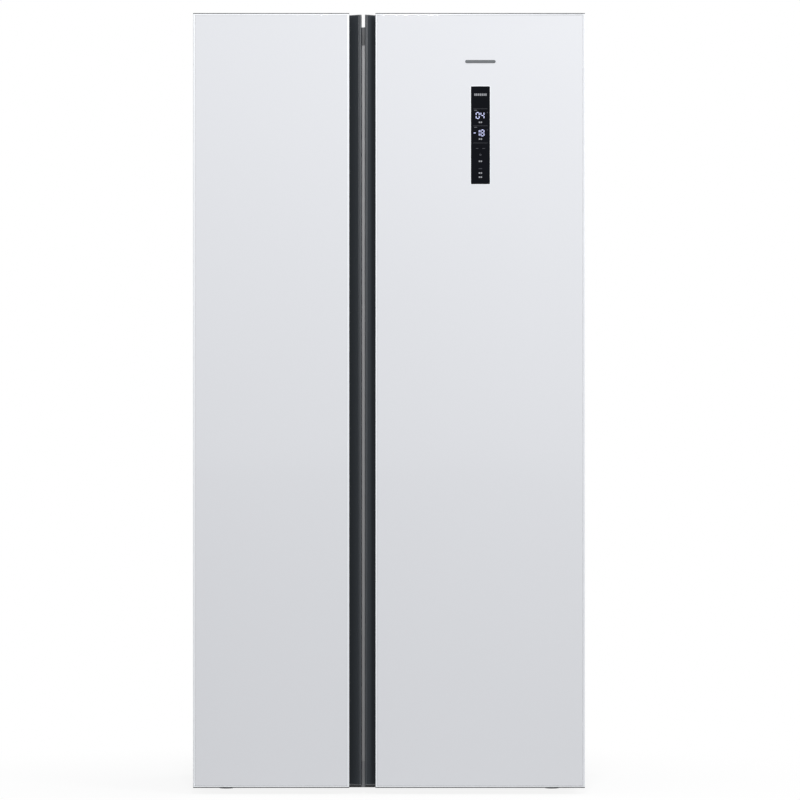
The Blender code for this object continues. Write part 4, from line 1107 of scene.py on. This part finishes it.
def build_lamp(name):
    """A flat lamp under the ceiling, near the door."""
    x = around(sum(SPACE_X[name]) / 2, LAMP_HALF_WIDTH)
    top = SPACE_Z[1]
    fit_block(name + "_lamp_frame", x, LAMP_Y, (top - 0.006, top + 0.0005), 0.002, white_moulding())
    lit = glow("lamp_glow", "white_plastic", (1.0, 0.98, 0.95), 12.0, 0.8)
    lens_z = (top - 0.0082, top - 0.0055)
    fit_block(name + "_lamp_lens", shrunk(x, 0.006), shrunk(LAMP_Y, 0.006), lens_z, 0.0012, lit)


# ---- cooling

def build_evaporator_cover():
    """The freezer's rear panel, with a ringed grille before the fan and a rib on each side."""
    fit_copy("evaporator_cover", "evaporator_cover_panel", white_moulding(), 0.0025, 3)
    box = Box("evaporator_cover")
    front = box.low.y
    centre = (box.middle.x, Box("evaporator_fan").middle.z)
    profile = ((-0.0012, 0.0035), (0.0012, 0.0035), (0.0022, 0.0001), (-0.0022, 0.0001))
    hoops = []
    for radius in GRILLE_RADII:
        rings = [place(circle(centre, radius + offset, 40), front - proud) for offset, proud in profile]
        hoops.append(loft("hoop", rings, looped=True))
    fit(joined("evaporator_fan_grille", hoops), white_moulding())
    rib_y = (front - 0.0040, front - 0.0001)
    rib_spans = [around(x, 0.004) for x in around(box.middle.x, 0.125)]
    fit_row("evaporator_cover_ribs", rib_spans, rib_y, shrunk(box.z, 0.03), 0.0018, white_moulding())


def build_duct():
    """The fridge's air duct, with a bright strip down each side."""
    fit_copy("fridge_air_duct", "air_duct_panel", white_moulding(), 0.0011, 2)
    duct = Box("fridge_air_duct")
    y = (duct.low.y - 0.0012, duct.low.y - 0.0001)
    spans = [around(x, 0.003) for x in shrunk(duct.x, 0.017)]
    fit_row("air_duct_strips", spans, y, shrunk(duct.z, 0.02), 0.0005, bright_strip(), segments=2)


def build_evaporator():
    """Fins on a pipe that runs across and turns back at both ends."""
    box = Box("evaporator")
    places = [box.low.x + FIN_PITCH * index for index in range(int((box.high.x - box.low.x) / FIN_PITCH))]
    plates = [block("fin", (x, x + FIN_THICKNESS), box.y, box.z) for x in places]
    fit(joined("evaporator_fins", plates), fins(), node="evaporator")

    row_pitch = (box.high.z - box.low.z) / PIPE_ROWS
    y = box.middle.y
    points = []
    for row in range(PIPE_ROWS):
        z = box.low.z + row_pitch * (row + 0.5)
        outward = 1 if row % 2 == 0 else -1
        start, end = shrunk(box.x, -0.004)[::outward]
        points += [(start, y, z), (end, y, z)]
        if row == PIPE_ROWS - 1:
            break
        for step in range(1, 8):
            angle = math.pi * (step / 8 - 0.5)
            x = end + outward * math.cos(angle) * 0.010
            points.append((x, y, z + row_pitch / 2 * (1 + math.sin(angle))))
    fit(rod("evaporator_pipe", points, 0.0035), fins())


def build_compressor():
    """The compressor's terminal box, its two pipes and the rubber grommets of its feet."""
    box = Box("compressor")
    low, middle = box.low, box.middle
    terminal_y = (low.y - 0.016, low.y + 0.006)
    terminal_z = (middle.z - 0.025, middle.z + 0.030)
    terminal_x = around(middle.x, 0.026)
    fit_block("compressor_terminal_box", terminal_x, terminal_y, terminal_z, 0.004, black_moulding())

    top = Vector((middle.x, middle.y, box.high.z))
    pipes = []
    for path, radius in ((DISCHARGE_PATH, 0.003), (SUCTION_PATH, 0.004)):
        pipes.append(rod("pipe", smooth_path([top + Vector(step) for step in path]), radius))
    fit(joined("compressor_pipes", pipes), copper())

    profile = ((0.008, 0.0), (0.009, 0.002), (0.009, 0.006), (0.006, 0.008))
    corners = [(x, y) for x in around(middle.x, GROMMET_OFFSET) for y in around(middle.y, GROMMET_OFFSET)]
    grommets = [turned("grommet", profile, (x, y, low.z + 0.018)) for x, y in corners]
    fit(joined("compressor_grommets", grommets), black_rubber())


def build_control_box():
    """The box of the main circuit board, in the machine room."""
    fit_block("control_box", *CONTROL_BOX, 0.004, grey_moulding())
    fit_block("control_box_lid", *CONTROL_BOX_LID, 0.003, grey_moulding())


# ---- hinges and back

def build_hinges(word, side):
    """The hinge arms of one side, the cover of the upper one, and their screws."""
    for level in ("upper", "lower"):
        fit_copy(f"{level}_hinge_{word}", f"{level}_hinge_arm_{word}", zinc(), 0.0004, 1)
    fit_copy("hinge_cover_" + word, "hinge_cap_" + word, grey_moulding(), 0.0008, 3)
    cover = Box("hinge_cover_" + word)
    cap_screw = screw((cover.middle.x, cover.high.y - 0.022, cover.high.z), (0, 0, 1))
    cap_screw.name = "hinge_cap_screw_" + word
    fit(cap_screw, dark_screw())
    arm = Box("lower_hinge_" + word)
    outer_x = arm.high.x if side > 0 else arm.low.x
    y, z = arm.high.y - 0.004, arm.low.z + 0.010
    centres = [(outer_x - side * inset, y, z) for inset in (0.020, 0.036)]
    screws = [screw(centre, (0, -1, 0), 0.0035, 0.0014) for centre in centres]
    fit(joined("lower_hinge_screws_" + word, screws), zinc())


def rear_screws(name, places, outer):
    """One object of screw heads at the places (x, z) on a rear face."""
    fit(joined(name, [screw((x, outer + 0.0001, z), (0, 1, 0)) for x, z in places]), zinc())


def build_back_panel():
    """The rear sheet with four pressed ribs and a row of screws along each edge."""
    box = Box("back_panel")
    outer = box.high.y
    middle = box.middle
    ribs = []
    z = (box.low.z + 0.09, box.high.z - 0.10)
    for offset in (-0.30, -0.10, 0.10, 0.30):
        x = around(middle.x + offset, 0.012)
        foot = place(rounded(x, z, 0.0119, 8), outer + 0.0001)
        crest = place(rounded(shrunk(x, 0.004), shrunk(z, 0.004), 0.0078, 8), outer + 0.0022)
        ribs.append(loft("rib", [foot, crest]))
    fit(joined("back_panel_ribs", ribs), cabinet_paint())

    left, right = shrunk(box.x, 0.02)
    along = (left, middle.x - 0.2, middle.x, middle.x + 0.2, right)
    rows = ((box.low.z + 0.03, along), (middle.z, (left, right)), (box.high.z - 0.03, along))
    rear_screws("back_panel_screws", [(x, z) for z, row in rows for x in row], outer)


def build_machine_cover():
    """The cover of the machine room, with its screws and a hood over each louvre."""
    fit_copy("machine_cover", "machine_room_cover", cabinet_paint(), 0.0003, 1)
    box = Box("machine_cover")
    outer = box.high.y
    left, right = shrunk(box.x, 0.02)
    places = [(x, z) for x in (left, *COVER_SCREW_X, right) for z in shrunk(box.z, 0.012)]
    rear_screws("machine_cover_screws", places, outer)
    hoods = []
    for centre in LOUVRE_X:
        for row in range(LOUVRE_ROWS):
            level = LOUVRE_TOP_Z + LOUVRE_PITCH * row
            section = [(outer + proud, level + over) for proud, over in HOOD_SECTION]
            hoods.append(prism("hood", section, around(centre, LOUVRE_HALF_WIDTH), "X"))
    fit(joined("machine_cover_hoods", hoods), cabinet_paint())


def build_inlet():
    """The mains inlet with its three blades, the middle one higher."""
    fit_copy("power_inlet", "power_inlet_body", black_moulding(), 0.0006, 2)
    box = Box("power_inlet")
    y = (box.high.y - 0.0199, box.high.y - 0.006)
    blades = []
    for offset_x, offset_z in ((-0.0125, 0.0), (0.0, 0.0035), (0.0125, 0.0)):
        x = around(box.middle.x + offset_x, 0.001)
        blades.append(soft_block("blade", x, y, around(box.middle.z + offset_z, 0.003), 0.0004, 2))
    fit(joined("power_inlet_blades", blades), zinc())


def build_face_strips():
    """The strips that show in the gap between the doors, and over and under them."""
    # The bottom rail takes a darker copy of the mullion's silver, which is painted shade.
    strips = {"centre_mullion": silver_strip(), "top_trim": grey_trim(), "bottom_rail": painted_shade_rail_silver()}
    for node, finish in strips.items():
        fit_copy(node, node + "_strip", finish, 0.0007, 3)


def repaint_nodes():
    feet = ("levelling_foot_left", "levelling_foot_right")
    repaint(foam(), "cabinet_foam", "freezer_door_foam", "fridge_door_foam")
    repaint(cabinet_paint(), "back_panel")
    repaint(zinc(), "base_plate")
    repaint(black_enamel(), "compressor", "condenser")
    repaint(grey_moulding(), "air_damper")
    repaint(black_moulding(), "drip_tray", "condenser_fan", "evaporator_fan", *feet)
    repaint(black_rubber(), "rear_roller_left", "rear_roller_right")


# ---- stage

def floor_material():
    """Pale and matt near the object, where shadows fall, and plain white further out."""
    material = bpy.data.materials.new("pale_floor")
    material.use_nodes = True
    tree = material.node_tree
    tree.nodes.clear()
    output = add_node(tree, "OutputMaterial")
    mix = add_node(tree, "MixShader")
    matt = add_node(tree, "BsdfDiffuse", {"Color": FLOOR_GREY})
    light = add_node(tree, "Emission", {"Color": WHITE})
    path = add_node(tree, "LightPath")
    strength = add_node(tree, "MapRange", {"To Min": FLOOR_BOUNCE})
    position = add_node(tree, "TexCoord")
    length = add_node(tree, "VectorMath", operation="LENGTH")
    fade = add_node(
        tree, "MapRange", {"From Min": FLOOR_FADE[0], "From Max": FLOOR_FADE[1], "To Min": FLOOR_WHITE_NEAR},
        interpolation_type="SMOOTHSTEP",
    )
    wire(path, "Is Camera Ray", strength, "Value")
    wire(strength, "Result", light, "Strength")
    wire(position, "Object", length, 0)
    wire(length, "Value", fade, "Value")
    wire(fade, "Result", mix, "Fac")
    wire(matt, "BSDF", mix, 1)
    wire(light, "Emission", mix, 2)
    wire(mix, "Shader", output, "Surface")
    return material


def build_floor():
    form = bmesh.new()
    bmesh.ops.create_circle(form, cap_ends=True, segments=96, radius=FLOOR_RADIUS)
    floor = object_from("floor", form)
    floor.data.materials.append(floor_material())


def aim(thing, eye, target):
    thing.location = eye
    direction = Vector(target) - Vector(eye)
    thing.rotation_euler = direction.to_track_quat("-Z", "Y").to_euler()


def build_area_lamp(name, eye, target, size, power):
    data = bpy.data.lights.new(name, "AREA")
    data.shape = "RECTANGLE"
    data.size, data.size_y = size
    data.energy = power
    aim(add(name, data), eye, target)


def build_lights():
    """A white backdrop for the camera, a softer sky for everything else, and three area lamps."""
    world = bpy.data.worlds.new("studio")
    world.use_nodes = True
    tree = world.node_tree
    tree.nodes.clear()
    output = add_node(tree, "OutputWorld")
    seen = add_node(tree, "Background", {"Color": WHITE, "Strength": 1.0})
    lit = add_node(tree, "Background", {"Color": SKY_COLOUR, "Strength": SKY_STRENGTH})
    path = add_node(tree, "LightPath")
    mix = add_node(tree, "MixShader")
    wire(path, "Is Camera Ray", mix, "Fac")
    wire(lit, "Background", mix, 1)
    wire(seen, "Background", mix, 2)
    wire(mix, "Shader", output, "Surface")
    bpy.context.scene.world = world
    for lamp in LAMPS:
        build_area_lamp(*lamp)


def build_camera():
    """Straight on and far away, so that the sides don't show."""
    data = bpy.data.cameras.new("camera")
    data.sensor_width = SENSOR_WIDTH
    data.lens = SENSOR_WIDTH * CAMERA_DISTANCE / VIEW_WIDTH
    data.clip_end = 200.0
    camera = add("camera", data)
    aim(camera, (CAMERA_X, FREEZER.front - CAMERA_DISTANCE, CAMERA_Z), (CAMERA_X, 0.0, CAMERA_Z))
    bpy.context.scene.camera = camera


# ---- everything

def build_door(door):
    build_glass(door)
    build_edge(door)
    build_grip(door)
    build_door_liner(door)
    build_seal(door)
    for number in range(1, BIN_COUNT[door.name] + 1):
        build_bin(door, f"{door.name}_door_bin_{number}")


def build_cold_space(name):
    build_space_liner(name)
    build_ledges(name)
    build_lamp(name)
    for number in range(1, SHELF_COUNT + 1):
        build_shelf(f"{name}_shelf_{number}")


def build():
    build_camera()
    build_lights()
    build_floor()
    build_door(FREEZER)
    build_door(FRIDGE)
    build_display()
    build_display_marks()
    build_badge()
    build_shell()
    for name in SPACE_X:
        build_cold_space(name)
    for pair in DRAWERS.values():
        for node in pair:
            build_drawer(node)
    build_face_strips()
    build_evaporator_cover()
    build_duct()
    build_evaporator()
    build_hinges("left", -1)
    build_hinges("right", 1)
    build_back_panel()
    build_machine_cover()
    build_inlet()
    build_compressor()
    build_control_box()
    repaint_nodes()


bpy.context.scene.view_settings.view_transform = "Standard"
build()
bpy.context.view_layer.update()
